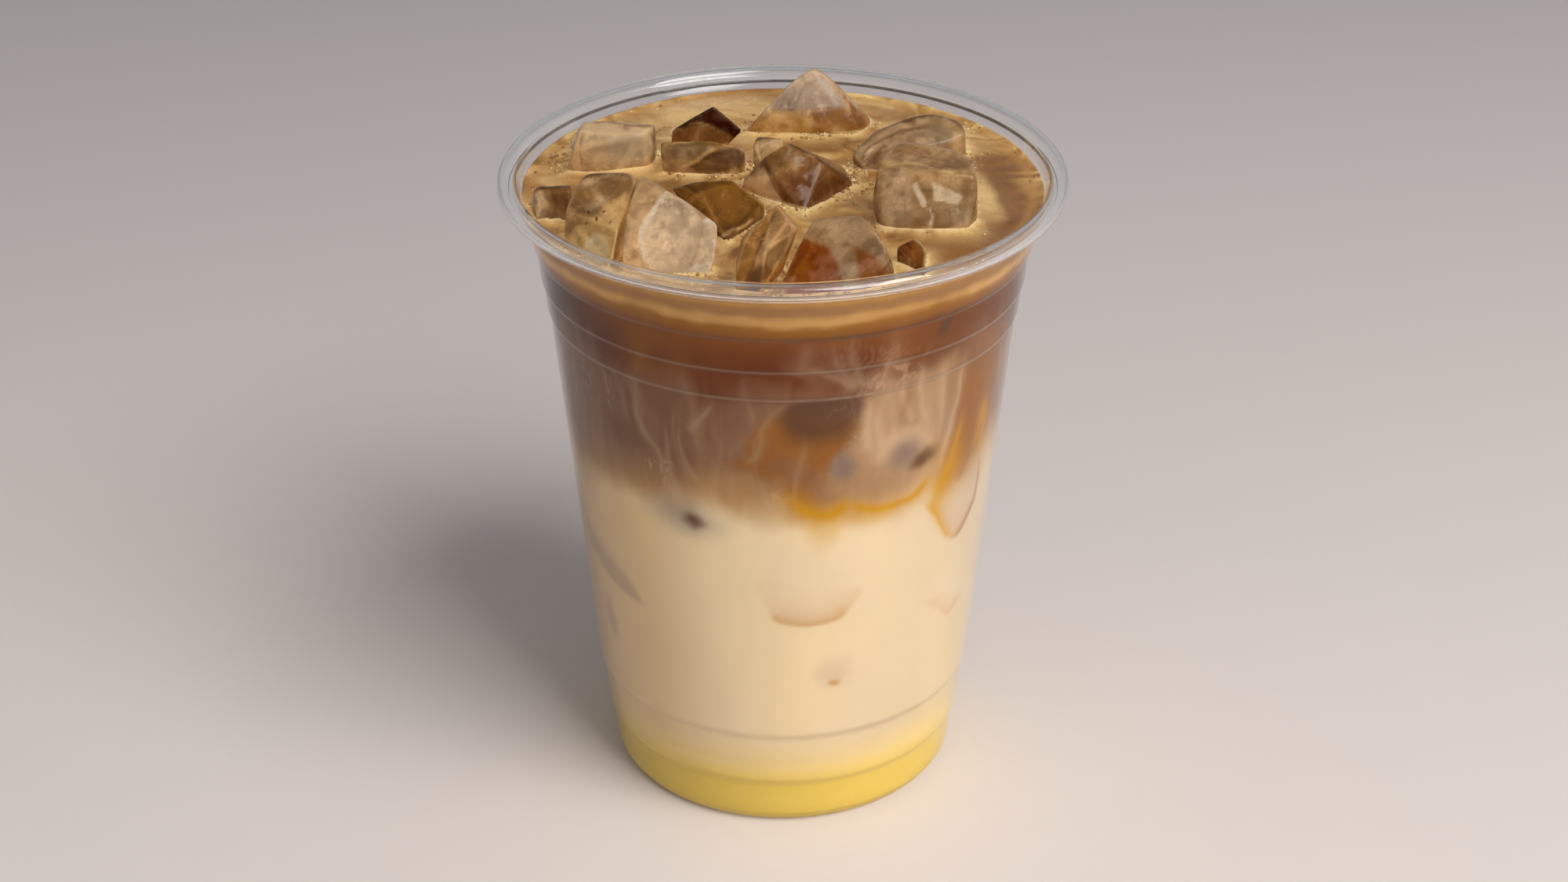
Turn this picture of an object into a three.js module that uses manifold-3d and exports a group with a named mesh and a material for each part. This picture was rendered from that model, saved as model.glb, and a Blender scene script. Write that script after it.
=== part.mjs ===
// Iced coffee with milk in a clear plastic tumbler, in millimetres.
// The origin is the centre of the standing ring, +Z runs up the axis of the tumbler,
// and -Y faces the viewer.
import * as THREE from 'three';
import { mergeVertices } from 'three/addons/utils/BufferGeometryUtils.js';
import { ConvexGeometry } from 'three/addons/geometries/ConvexGeometry.js';
import Module from 'manifold-3d';

// Tumbler
const RIM_RADIUS = 49;
const HEIGHT = 116.5;
const WALL = 0.6;
const ROUND_SEGMENTS = 56;

// Rolled lip: a curl of the wall, open along its foot
const CURL_RADIUS = 1.65;
const CURL_STEPS = 10;
const CURL_END_DEGREES = -115;

// Outer face of the tumbler as [radius, height], from the middle of the base to the neck:
// the recess, the standing ring, two stacking steps low down and three lines under the lip
const OUTER_FACE = [
  [0, 1.6], [25.4, 1.6], [26.8, 0.5], [27.8, 0], [28.9, 0], [30.2, 0.5], [31.2, 1.5], [31.65, 3],
  [32.25, 9.5], [32.7, 10.1],
  [33.95, 20.5], [34.4, 21.1],
  [41.0, 91.9], [41.45, 92.5],
  [41.85, 97.4], [42.3, 98],
  [42.85, 103.8], [43.35, 104.4],
  [45.35, 112.4],
];
const NECK_TOP = [45.98, 114.2];

// Levels of the drink
const GAP = 0.3;
const SWEET_MILK_TOP = 14.5;
const MILK_TOP = 74;
const COFFEE_TOP = 107.2;
const LEVEL = HEIGHT - 3.9;

// Ice: how far each piece is sunk, how much narrower it is down there, how far it is drawn in
// from the narrowing wall, and how wide of it the drink is cut
const SUNK = 9;
const SUNK_SCALE = 0.75;
const SUNK_DRAWN_IN = 0.95;
const FOOT_HEIGHT = 1.2;
const POCKET = 0.4;

// Corners of each piece of ice as [x, y, height over the level of the drink]
const ICE = {
  ice_back_left: [
    [-37.7, 6.4, 0], [-22.3, 12.4, 0], [-35.3, 5.6, 8], [-24, 4.8, 7.5], [-34.8, 9, 8.2],
    [-30.4, 8.9, 8.4], [-22.5, 8.6, 7.8], [-22.5, 8.2, 6], [-36.5, 4.4, 5], [-37.4, 22.6, 0],
    [-22.4, 10.4, 6.8], [-22.4, 10, 5], [-22.2, 15.4, 0], [-36, 24.7, 0],
  ],
  ice_back_peak: [
    [-20, 15.7, 0.2], [-12.1, 13, 9.5], [-13.5, 13, 8.6], [-9.9, 13.1, 7.4], [-19, 14.4, 4.8],
    [-7.1, 13.5, 4.8], [-19.6, 14.6, 4.1], [-12.6, 14.9, 8.5], [-18.7, 25.6, 0],
  ],
  ice_back_slab: [
    [-21.1, 8.3, 0], [-20.9, 5.4, 0], [-6.5, 9.2, 0], [-21.2, 5.5, 4.5], [-21.2, 6.3, 5.5],
    [-12.6, 5.8, 6], [-6.5, 4.4, 5], [-6.5, 4.1, 3.5], [-21.2, 5.3, 3], [-7.5, 12.2, 0],
    [-21.2, 7.2, 5], [-13.5, 6.8, 5.5], [-21.2, 6.2, 2.5], [-6.5, 10.7, 0], [-21, 13.2, 0],
    [-7.6, 12.3, 0],
  ],
  ice_tall_peak: [
    [-6.8, 24.3, 0], [13.3, 23.2, 0], [16, 27.3, 0], [5.5, 26.8, 11.5], [3.6, 25.5, 10.8],
    [7.4, 25.9, 10.8], [-3.9, 23, 4], [10.8, 25.1, 7.5], [1, 26.5, 8], [9.5, 30, 6.5],
    [5.5, 28.9, 10.3], [7.2, 28, 9.6], [4, 31.8, 5.8], [16, 30.8, 0], [-1.9, 34.5, 0],
    [12.5, 36.4, 0],
  ],
  ice_back_right: [
    [12, 9.5, 1], [14.6, 6, 0], [22.8, 7.7, 0], [32.5, 14.5, 0], [22.7, 15.5, 6.5],
    [26.5, 15.6, 7], [31.3, 14.4, 6], [32.2, 11.4, 5], [16.5, 14.4, 4.5], [11.9, 8.6, 2.5],
    [22.9, 17.7, 5.3], [26.2, 17.8, 5.8], [17.4, 16.6, 3.3], [32.5, 18, 0], [21.3, 24.3, 0],
    [32, 27.1, 0],
  ],
  ice_big_right: [
    [14.7, -15.3, 3], [16.6, -17.4, 0], [20.5, -18.3, 0], [30.6, -18.3, 0], [32.5, -15, 0],
    [32.3, -16.2, 8], [32.1, -11.1, 9.5], [29, -7.6, 10], [19.5, -3.8, 10], [16.7, -10.1, 9.5],
    [15.6, -15.2, 9], [31.8, -15.2, 9], [28.4, -4.5, 8.3], [20.1, -0.7, 8.3], [32.5, -10, 0],
    [17.9, 5.4, 0], [30.7, 5.6, 0],
  ],
  ice_centre: [
    [-7.1, -2, 1], [-2.9, -6.1, 0], [3.7, -11.2, 0], [12.1, -0.8, 1], [1.3, -2.6, 9],
    [-3.1, -4.2, 7], [6.9, -4.4, 6.5], [3.6, -2.8, 8], [1.4, 0.5, 7.3], [-7.1, 2.9, 0],
    [10.5, 9, 0],
  ],
  ice_centre_small: [
    [-5.2, 8.4, 0], [-3.1, 6.6, 0], [0.3, 11, 0], [-5.2, 10.6, 3.5], [-4.5, 12.6, 4],
    [-0.1, 11.7, 4], [0.1, 10, 3], [-4.3, 13.2, 3.7], [-0.3, 12.3, 3.7], [-0.4, 16.4, 0],
  ],
  ice_centre_left: [
    [-9.2, -23.5, 0.1], [-2.9, -11.3, 1], [-18.8, -12.2, 5], [-14.8, -11.9, 6], [-8.3, -10.4, 5.5],
    [-3, -14.2, 3], [-18.2, -9.7, 3.6], [-14.7, -9.4, 4.6], [-9, -7.9, 4.1], [-8.4, -3.7, 0],
  ],
  ice_left_foamy: [
    [-35.7, -25.2, 0], [-34, -27.4, 0], [-28, -33.6, 0], [-26.4, -26.6, 0], [-34.2, -15.5, 7.5],
    [-33, -14.4, 8.5], [-25.5, -14.9, 9], [-24.1, -16, 8.5], [-35.8, -22.2, 5], [-26.8, -28.4, 5],
    [-33.5, -13, 6.1], [-32.5, -11.9, 7.1], [-25.9, -12.4, 7.6], [-24.6, -13.6, 7.1], [-35.9, -21.6, 0],
    [-32.6, -10.2, 0],
  ],
  ice_front_left: [
    [-25.9, -35.2, 0], [-11.7, -35.7, 0], [-10.5, -30.2, 6.5], [-12.7, -30.1, 7.5], [-18.6, -24.8, 10],
    [-23.3, -19.7, 10.5], [-24.1, -22.4, 10], [-25.4, -28.9, 8], [-26, -32.4, 4], [-10.6, -33.9, 4],
    [-23.1, -17.3, 9.1], [-23.7, -20, 8.6], [-25, -26.5, 6.6], [-26.1, -31.7, 0],
  ],
  ice_far_left: [
    [-42.4, -10.7, 0], [-41.2, -14.5, 0], [-35.9, -15, 0], [-41.8, -12.8, 4.5], [-41.2, -11.6, 5],
    [-35.6, -11.2, 5], [-35.5, -12.9, 4.8], [-40.9, -10.3, 4.3], [-36, -10, 4.3], [-42.8, -8.9, 0],
    [-41.6, -7.3, 0],
  ],
  ice_front_peak: [
    [-7.4, -41.3, 0], [-3.5, -42.4, 0], [-0.7, -29.2, 9.5], [-2, -31.1, 9.3], [-6.7, -34.5, 6],
    [-7.6, -39.1, 3], [2.5, -32.9, 7], [1, -33.1, 8.5], [-2.8, -41.8, 7], [-0.6, -26.4, 8],
    [2.2, -30.1, 5.5], [-4.2, -23.7, 0],
  ],
  ice_front_big: [
    [-1, -43.7, 0.5], [12.8, -41.8, 0], [4.5, -36.1, 9.4], [7.8, -35.3, 10], [12.8, -35, 10],
    [14.9, -38.4, 9.5], [17, -40.3, 5], [2.6, -39.3, 6.7], [5, -33.4, 7.8], [7.8, -32.5, 8.5],
    [12.2, -32.2, 8.5], [18.2, -35.6, 0], [5.3, -25.9, 0], [9.9, -22.2, 0],
  ],
  ice_small_right: [
    [18.6, -31.1, 1], [20.1, -32.7, 0], [22.7, -35.1, 0], [23.4, -29.6, 1], [21.6, -29.7, 3.5],
    [18.6, -30.6, 2.5], [23.1, -31.4, 2.5], [21.6, -28.8, 3], [23.4, -28.1, 0],
  ],
};

const COLOURS = {
  cup: 0xe9eced,
  sweet_milk: 0xd9bf62,
  milk: 0xe8d3a8,
  coffee: 0x7b431c,
  crema: 0xcf9d5c,
  ice: 0xc0a484,
};

const wasm = await Module();
wasm.setup();

// A line moved to its left by a distance, with its corners mitred
function offsetLine(line, distance) {
  const direction = (a, b) => new THREE.Vector2(b[0] - a[0], b[1] - a[1]).normalize();
  return line.map((point, i) => {
    const before = direction(line[Math.max(i - 1, 0)], line[Math.max(i, 1)]);
    const after = direction(line[Math.min(i, line.length - 2)], line[Math.min(i + 1, line.length - 1)]);
    const normal = new THREE.Vector2(-before.y - after.y, before.x + after.x).normalize();
    const reach = distance / normal.dot(new THREE.Vector2(-after.y, after.x));
    return [point[0] + normal.x * reach, point[1] + normal.y * reach];
  });
}

// The face of the wall that looks outwards, on into the hollow of the rolled lip
function wallLine() {
  const radius = CURL_RADIUS - WALL;
  const middle = [RIM_RADIUS - CURL_RADIUS, HEIGHT - CURL_RADIUS];
  const curl = [];
  for (let i = 0; i <= CURL_STEPS; i += 1) {
    const share = i / CURL_STEPS;
    const quarter = share <= 0.6 ? 180 - share * 300 : (share - 0.6) / 0.4 * CURL_END_DEGREES;
    const angle = THREE.MathUtils.degToRad(quarter);
    curl.push([middle[0] + radius * Math.cos(angle), middle[1] + radius * Math.sin(angle)]);
  }
  return [...OUTER_FACE, NECK_TOP, ...curl];
}

// The radius inside the wall at a height, less a distance kept from it
function insideRadius(z, distance) {
  const line = offsetLine([...OUTER_FACE, NECK_TOP], WALL + distance);
  const side = line.slice(7);
  for (let i = 1; i < side.length; i += 1) {
    if (z <= side[i][1]) {
      const share = (z - side[i - 1][1]) / (side[i][1] - side[i - 1][1]);
      return THREE.MathUtils.lerp(side[i - 1][0], side[i][0], share);
    }
  }
  return side[side.length - 1][0];
}

// A closed triangle mesh with shared corners, no empty triangles, and its faces outwards
function closedMesh(geometry) {
  const bare = geometry.clone();
  bare.deleteAttribute('normal');
  bare.deleteAttribute('uv');
  const merged = mergeVertices(bare, 1e-4);
  const at = merged.getAttribute('position');
  const index = merged.getIndex().array;
  const corner = (i) => new THREE.Vector3().fromBufferAttribute(at, i);
  const triangles = [];
  let volume = 0;
  for (let i = 0; i < index.length; i += 3) {
    const [a, b, c] = [index[i], index[i + 1], index[i + 2]];
    if (a !== b && b !== c && c !== a) {
      triangles.push([a, b, c]);
      volume += corner(a).dot(corner(b).cross(corner(c)));
    }
  }
  const ordered = triangles.map(([a, b, c]) => (volume < 0 ? [a, c, b] : [a, b, c]));
  merged.setIndex(ordered.flat());
  return merged;
}

function toSolid(geometry) {
  const closed = closedMesh(geometry);
  return new wasm.Manifold(new wasm.Mesh({
    numProp: 3,
    vertProperties: new Float32Array(closed.getAttribute('position').array),
    triVerts: new Uint32Array(closed.getIndex().array),
  }));
}

function fromSolid(solid) {
  const mesh = solid.getMesh();
  const geometry = new THREE.BufferGeometry();
  geometry.setAttribute('position', new THREE.BufferAttribute(new Float32Array(mesh.vertProperties), 3));
  geometry.setIndex(new THREE.BufferAttribute(new Uint32Array(mesh.triVerts), 1));
  return geometry;
}

// A body of revolution about Z from a line of [radius, height]
function revolve(line) {
  const points = line.map(([r, z]) => new THREE.Vector2(r, z));
  const lathe = new THREE.LatheGeometry(points, ROUND_SEGMENTS);
  lathe.rotateX(Math.PI / 2);
  return closedMesh(lathe);
}

function cupGeometry() {
  const outer = wallLine();
  const inner = offsetLine(outer, WALL).reverse();
  inner[inner.length - 1][0] = 0;
  return revolve([...outer, ...inner]);
}

// One layer of the drink between two heights, a gap inside the wall
function layerGeometry(low, high) {
  const side = offsetLine([...OUTER_FACE, NECK_TOP], WALL + GAP).slice(7);
  const between = side.filter(([, z]) => z > low + GAP && z < high - GAP);
  return revolve([
    [0, low],
    [insideRadius(low, GAP), low],
    ...between,
    [insideRadius(high, GAP), high],
    [0, high],
  ]);
}

// The lowest layer follows the raised floor and the standing ring
function bottomLayerGeometry(high) {
  const face = offsetLine([...OUTER_FACE, NECK_TOP], WALL + GAP);
  face[0][0] = 0;
  const between = face.filter(([, z]) => z < high - GAP);
  return revolve([...between, [insideRadius(high, GAP), high], [0, high]]);
}

// The corners of a piece of ice with those of its sunk end
function iceCorners(corners) {
  const shown = corners.map(([x, y, h]) => new THREE.Vector3(x, y, LEVEL + h));
  const foot = corners.filter(([, , h]) => h <= FOOT_HEIGHT);
  const middle = foot.reduce((sum, [x, y]) => [sum[0] + x / foot.length, sum[1] + y / foot.length], [0, 0]);
  const level = foot.map(([x, y]) => new THREE.Vector3(x, y, LEVEL));
  const sunk = foot.map(([x, y]) => new THREE.Vector3(
    (middle[0] + (x - middle[0]) * SUNK_SCALE) * SUNK_DRAWN_IN,
    (middle[1] + (y - middle[1]) * SUNK_SCALE) * SUNK_DRAWN_IN,
    LEVEL - SUNK,
  ));
  return [...shown, ...level, ...sunk];
}

// The room that a piece of ice takes in the drink, wider than the piece on every side
function pocketGeometry(corners) {
  const sides = [[1, 0, 0], [-1, 0, 0], [0, 1, 0], [0, -1, 0], [0, 0, -1]];
  const steps = sides.map((side) => new THREE.Vector3(...side).multiplyScalar(POCKET));
  return new ConvexGeometry(iceCorners(corners).flatMap((p) => steps.map((step) => p.clone().add(step))));
}

function addMesh(group, name, geometry, colour, roughness) {
  const material = new THREE.MeshStandardMaterial({ color: colour, roughness, metalness: 0 });
  const mesh = new THREE.Mesh(geometry, material);
  mesh.name = name;
  group.add(mesh);
}

const part = new THREE.Group();
addMesh(part, 'cup', cupGeometry(), COLOURS.cup, 0.08);
addMesh(part, 'sweet_milk', bottomLayerGeometry(SWEET_MILK_TOP), COLOURS.sweet_milk, 0.35);
addMesh(part, 'milk', layerGeometry(SWEET_MILK_TOP + GAP, MILK_TOP), COLOURS.milk, 0.35);

const pockets = Object.values(ICE).map((corners) => toSolid(pocketGeometry(corners)));
const cutRoundIce = (geometry) => {
  const cut = pockets.reduce((solid, pocket) => solid.subtract(pocket), toSolid(geometry));
  return fromSolid(cut);
};
addMesh(part, 'coffee', cutRoundIce(layerGeometry(MILK_TOP + GAP, COFFEE_TOP)), COLOURS.coffee, 0.35);
addMesh(part, 'crema', cutRoundIce(layerGeometry(COFFEE_TOP + GAP, LEVEL)), COLOURS.crema, 0.45);

for (const [name, corners] of Object.entries(ICE)) {
  addMesh(part, name, closedMesh(new ConvexGeometry(iceCorners(corners))), COLOURS.ice, 0.12);
}

export default part;
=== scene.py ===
"""Iced cafe con leche in a clear plastic tumbler.

The tumbler stands on the origin with +Z up, and -Y faces the viewer. Every size is in millimetres
until a mesh is made. The layers of the drink, the ice and the clear wall are surfaces of two
parameters, worked out as whole arrays.
"""
import logging
import math
from dataclasses import dataclass, field
from enum import Enum

import bpy
import numpy as np
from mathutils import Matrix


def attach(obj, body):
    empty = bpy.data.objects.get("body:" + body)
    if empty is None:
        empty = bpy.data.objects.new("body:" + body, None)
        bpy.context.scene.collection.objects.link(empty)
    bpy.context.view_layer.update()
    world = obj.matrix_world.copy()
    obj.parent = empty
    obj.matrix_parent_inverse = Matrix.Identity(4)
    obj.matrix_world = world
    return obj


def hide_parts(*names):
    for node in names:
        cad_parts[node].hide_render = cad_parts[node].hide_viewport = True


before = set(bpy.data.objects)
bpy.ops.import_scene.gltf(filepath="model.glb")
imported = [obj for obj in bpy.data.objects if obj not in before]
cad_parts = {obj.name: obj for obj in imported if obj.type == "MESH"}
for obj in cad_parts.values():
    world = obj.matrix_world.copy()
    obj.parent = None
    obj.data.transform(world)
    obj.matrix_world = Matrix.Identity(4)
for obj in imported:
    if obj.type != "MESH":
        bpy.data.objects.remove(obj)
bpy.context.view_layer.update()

LOG = logging.getLogger("iced_coffee")
MM = 0.001

# heights in the drink, and the radius at which its side is unrolled
SWEET_TOP = 14.5
MILK_TOP = 74.0
COFFEE_TOP = 104.1
LEVEL = 112.6
UNROLL = 38.0

# the view: its slope, its distance, the height it aims at, and its place and scale in the picture
SLOPE = 28.76
DISTANCE = 500.0
AIM_HEIGHT = 62.39
PICTURE_MIDDLE = (998.0, 562.5)
PICTURE_SCALE = 3520.5
TO_VIEWER = np.array([0.0, -math.cos(math.radians(SLOPE)), math.sin(math.radians(SLOPE))])
UP_IN_VIEW = np.array([0.0, math.sin(math.radians(SLOPE)), math.cos(math.radians(SLOPE))])

Array = np.ndarray
Material = bpy.types.Material
Piece = bpy.types.Object
Socket = bpy.types.NodeSocket
Pair = tuple[float, float]
Outline = tuple[Pair, ...]
Colour = tuple[float, ...]


# plain helpers


def linear(red: int, green: int, blue: int) -> Colour:
    """Turn a screen colour of 0 to 255 into a linear colour.

    Args:
        red: red of the screen colour.
        green: green of the screen colour.
        blue: blue of the screen colour.

    Returns:
        The linear colour with an alpha of 1.
    """
    c = np.array([red, green, blue]) / 255.0
    c = np.where(c <= 0.04045, c / 12.92, ((c + 0.055) / 1.055) ** 2.4)
    return (float(c[0]), float(c[1]), float(c[2]), 1.0)


def smooth(low: float, high: float, value: Array) -> Array:
    """Ease from 0 at low to 1 at high: 3t^2 - 2t^3 of the clipped share t.

    Args:
        low: value that gives 0.
        high: value that gives 1; it may be under low.
        value: the values to ease.

    Returns:
        The eased shares.
    """
    t = np.clip((value - low) / (high - low), 0.0, 1.0)
    return t * t * (3.0 - 2.0 * t)


def bell(gap: Array, width: float | Array) -> Array:
    """Give 1 at a gap of 0 and less to both sides: e to the power of -(gap / width)^2."""
    return np.exp(-((gap / width) ** 2))


def fade(gap: Array, reach: float) -> Array:
    """Give 1 up to a gap of 0 and less beyond it: e to the power of -gap / reach."""
    return np.exp(-np.maximum(gap, 0.0) / reach)


def mix(first: Array, second: Array | Colour, share: Array) -> Array:
    """Blend rows of colour towards a second colour by a share for each row."""
    return first + (np.asarray(second)[..., :3] - first) * np.clip(share, 0.0, 1.0)[:, None]


def evenly(colour: Colour, count: int) -> Array:
    """Give a count of rows of one colour."""
    return np.tile(np.array(colour[:3]), (count, 1))


def lattice(cell: Array, seed: int) -> Array:
    """Give each whole-number cell a fixed value from 0 to 1 by mixing its bits.

    Args:
        cell: whole numbers, three in the last axis.
        seed: another pattern for each seed.

    Returns:
        One value for each cell.
    """
    c = cell.astype(np.int64).astype(np.uint32)
    large, larger, largest, last = (np.uint32(n) for n in (374761393, 668265263, 2147483587, 1274126177))
    h = c[..., 0] * large + c[..., 1] * larger + c[..., 2] * largest + np.uint32(seed * 2654435761 % 2**32)
    h = (h ^ (h >> np.uint32(13))) * last
    h = h ^ (h >> np.uint32(16))
    return h.astype(np.float64) / (2.0**32 - 1.0)


def noise(point: Array, seed: int = 0) -> Array:
    """Value noise: the eight lattice values round each point, blended by eased shares.

    Args:
        point: points, three numbers in the last axis.
        seed: another pattern for each seed.

    Returns:
        Noise from 0 to 1.
    """
    base = np.floor(point)
    t = smooth(0.0, 1.0, point - base)
    total = np.zeros(point.shape[:-1])
    for i in range(8):
        corner = np.array([i & 1, (i >> 1) & 1, (i >> 2) & 1])
        weight = np.prod(np.where(corner == 1, t, 1.0 - t), axis=-1)
        total += weight * lattice(base + corner, seed)
    return total


def clouds(point: Array, octaves: int = 4, seed: int = 0) -> Array:
    """Sum octaves of noise, each twice as fine and half as strong as the last.

    Args:
        point: points, three numbers in the last axis.
        octaves: how many sizes of noise are added.
        seed: another pattern for each seed.

    Returns:
        Clouds from 0 to 1.
    """
    shift = 17.3
    total = np.zeros(point.shape[:-1])
    weight = 0.5
    for i in range(octaves):
        total += weight * noise(point * 2.0**i + shift * i, seed + i)
        weight *= 0.5
    return total / (1.0 - 0.5**octaves)


def new_object(name: str, corners: Array, quads: Array, triangles: Array | None = None) -> Piece:
    """Make a smooth-shaded object from arrays of corners and faces.

    Args:
        name: name of the object and its mesh.
        corners: corner points in millimetres, one a row.
        quads: four corner numbers a row.
        triangles: three corner numbers a row, or nothing.

    Returns:
        The object, linked to the scene and standing at the origin.
    """
    quads = np.asarray(quads, dtype=np.int32).reshape(-1, 4)
    triangles = np.asarray([] if triangles is None else triangles, dtype=np.int32).reshape(-1, 3)
    mesh = bpy.data.meshes.new(name)
    mesh.vertices.add(len(corners))
    mesh.vertices.foreach_set("co", (np.asarray(corners) * MM).astype(np.float32).ravel())
    loops = np.concatenate([quads.ravel(), triangles.ravel()])
    sizes = np.concatenate([np.full(len(quads), 4), np.full(len(triangles), 3)]).astype(np.int32)
    starts = np.concatenate([[0], np.cumsum(sizes)[:-1]]).astype(np.int32)
    mesh.loops.add(len(loops))
    mesh.loops.foreach_set("vertex_index", loops)
    mesh.polygons.add(len(sizes))
    mesh.polygons.foreach_set("loop_start", starts)
    mesh.polygons.foreach_set("use_smooth", np.ones(len(sizes), dtype=bool))
    mesh.update(calc_edges=True)
    mesh.validate()
    made = bpy.data.objects.new(name, mesh)
    bpy.context.scene.collection.objects.link(made)
    return made


def paint(made: Piece, values: Array) -> None:
    """Store a colour and a share for each corner of an object, as its attribute "shade".

    Args:
        made: the object.
        values: one row of up to four numbers for each corner.
    """
    shares = np.ones((len(values), 4), np.float32)
    shares[:, : values.shape[1]] = np.clip(values, 0.0, 1.0)
    layer = made.data.attributes.new("shade", "FLOAT_COLOR", "POINT")
    layer.data.foreach_set("color", shares.ravel())


def ring_quads(rows: int, columns: int) -> Array:
    """Number the quads of a grid whose columns close into a ring.

    Args:
        rows: rows of corners.
        columns: corners in each row.

    Returns:
        Four corner numbers a row, facing out when rows go up and columns run anticlockwise.
    """
    i, j = np.meshgrid(np.arange(rows - 1), np.arange(columns), indexing="ij")
    low, up, on = i * columns, (i + 1) * columns, (j + 1) % columns
    return np.stack([low + j, low + on, up + on, up + j], axis=-1).reshape(-1, 4)


def grid_quads(cells: int) -> Array:
    """Number the quads of a square grid that has one more corner than cells along each side.

    Args:
        cells: cells along each side.

    Returns:
        Four corner numbers a row.
    """
    i, j = np.meshgrid(np.arange(cells), np.arange(cells), indexing="ij")
    low, up = i * (cells + 1) + j, (i + 1) * (cells + 1) + j
    return np.stack([low, up, up + 1, low + 1], axis=-1).reshape(-1, 4)


def revolve(line: Array, columns: int) -> Array:
    """Turn a line of radius and height about Z: (r cos a, r sin a, z) for each angle a.

    Args:
        line: radius and height, one pair a row.
        columns: how many angles.

    Returns:
        The corners, all the angles of the first pair first.
    """
    angle = np.arange(columns) * 2.0 * math.pi / columns
    r, z = line[:, :1], np.broadcast_to(line[:, 1:], (len(line), columns))
    return np.stack([r * np.cos(angle), r * np.sin(angle), z], axis=-1).reshape(-1, 3)


def closed_shell(line: Array, columns: int, low: float, high: float) -> tuple[Array, Array, Array]:
    """Revolve a line, and close each of its ends with a fan to a point on the axis.

    Args:
        line: radius and height, one pair a row.
        columns: how many angles.
        low: height of the point that closes the first end.
        high: height of the point that closes the last end.

    Returns:
        The corners, the quads, and the triangles of the two fans.
    """
    corners = np.vstack([revolve(line, columns), [[0.0, 0.0, low], [0.0, 0.0, high]]])
    j = np.arange(columns)
    on = (j + 1) % columns
    last_row = (len(line) - 1) * columns
    first = np.stack([np.full_like(j, len(corners) - 2), on, j], axis=1)
    last = np.stack([np.full_like(j, len(corners) - 1), last_row + j, last_row + on], axis=1)
    return corners, ring_quads(len(line), columns), np.vstack([first, last])


def ball_of_directions(cells: int) -> tuple[Array, Array]:
    """Lay a grid over a ball: the six grids (1, tan a, tan b) of a cube, each place cut to a length of 1.

    Args:
        cells: cells along each side of a grid.

    Returns:
        The directions, each of them once, and the quads.
    """
    t = np.tan(np.linspace(-math.pi / 4, math.pi / 4, cells + 1))
    u, v = np.meshgrid(t, t, indexing="ij")
    one = np.ones_like(u)
    faces = [(one, u, v), (-one, v, u), (v, one, u), (u, -one, v), (u, v, one), (v, u, -one)]
    ball = np.stack([np.stack(f, axis=-1) for f in faces]).reshape(-1, 3)
    ball /= np.linalg.norm(ball, axis=1)[:, None]
    quads = np.concatenate([grid_quads(cells) + k * (cells + 1) ** 2 for k in range(6)])
    _, first, same = np.unique(np.round(ball, 6), axis=0, return_index=True, return_inverse=True)
    return ball[first], same.ravel()[quads]


def disc_of_rings(cells: int) -> tuple[Array, Array]:
    """Carry a square grid onto a disc of radius 1, its square rings onto rings of the disc.

    A place (a, b) with |a| > |b| goes to the radius a at the angle (pi / 4) b / a, and the same with
    the two changed over.

    Args:
        cells: cells along each side of the grid.

    Returns:
        The places across and along.
    """
    t = np.linspace(-1, 1, cells + 1)
    a, b = (g.ravel() for g in np.meshgrid(t, t, indexing="ij"))
    wide = np.abs(a) > np.abs(b)
    safe_a, safe_b = np.where(a == 0, 1.0, a), np.where(b == 0, 1.0, b)
    radius = np.where(wide, a, b)
    turn = np.where(wide, (math.pi / 4) * b / safe_a, math.pi / 2 - (math.pi / 4) * a / safe_b)
    return radius * np.cos(turn), radius * np.sin(turn)


def cut_corners(line: Array, size: float) -> Array:
    """Cut each corner of a line between two points set back from it.

    Args:
        line: the corners, one pair a row.
        size: how far back a cut starts, at most 0.45 of the shorter side.

    Returns:
        The line with two points for each corner, and its two ends kept.
    """
    mid = line[1:-1]
    a, b = line[:-2] - mid, line[2:] - mid
    la, lb = np.linalg.norm(a, axis=1)[:, None], np.linalg.norm(b, axis=1)[:, None]
    reach = np.minimum(size, 0.45 * np.minimum(la, lb))
    cuts = np.stack([mid + a * (reach / la), mid + b * (reach / lb)], axis=1)
    return np.vstack([line[:1], cuts.reshape(-1, 2), line[-1:]])


def offset_line(line: Array, distance: float) -> Array:
    """Move a line to its left along the normals between its points.

    Args:
        line: points, one pair a row.
        distance: how far it moves.

    Returns:
        The moved line.
    """
    step = np.diff(line, axis=0)
    step /= np.linalg.norm(step, axis=1)[:, None]
    before, after = np.vstack([step[:1], step]), np.vstack([step, step[-1:]])
    normal = np.stack([-(before + after)[:, 1], (before + after)[:, 0]], axis=1)
    normal /= np.linalg.norm(normal, axis=1)[:, None]
    lean = np.sum(normal * np.stack([-after[:, 1], after[:, 0]], axis=1), axis=1)
    return line + normal * (distance / np.maximum(lean, 0.5))[:, None]


def smooth_curve(places: Array, steps: int = 5) -> Array:
    """Carry a Catmull-Rom curve through places.

    Args:
        places: the places, one pair a row.
        steps: points between two places.

    Returns:
        The points of the curve.
    """
    p = np.vstack([2 * places[0] - places[1], places, 2 * places[-1] - places[-2]])
    t = np.linspace(0.0, 1.0, steps, endpoint=False)[None, :, None]
    a, b, c, d = (p[k : len(p) - 3 + k][:, None] for k in range(4))
    curve = 0.5 * (2 * b + (c - a) * t + (2 * a - 5 * b + 4 * c - d) * t**2 + (3 * b - a - 3 * c + d) * t**3)
    return np.vstack([curve.reshape(-1, 2), places[-1:]])


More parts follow.
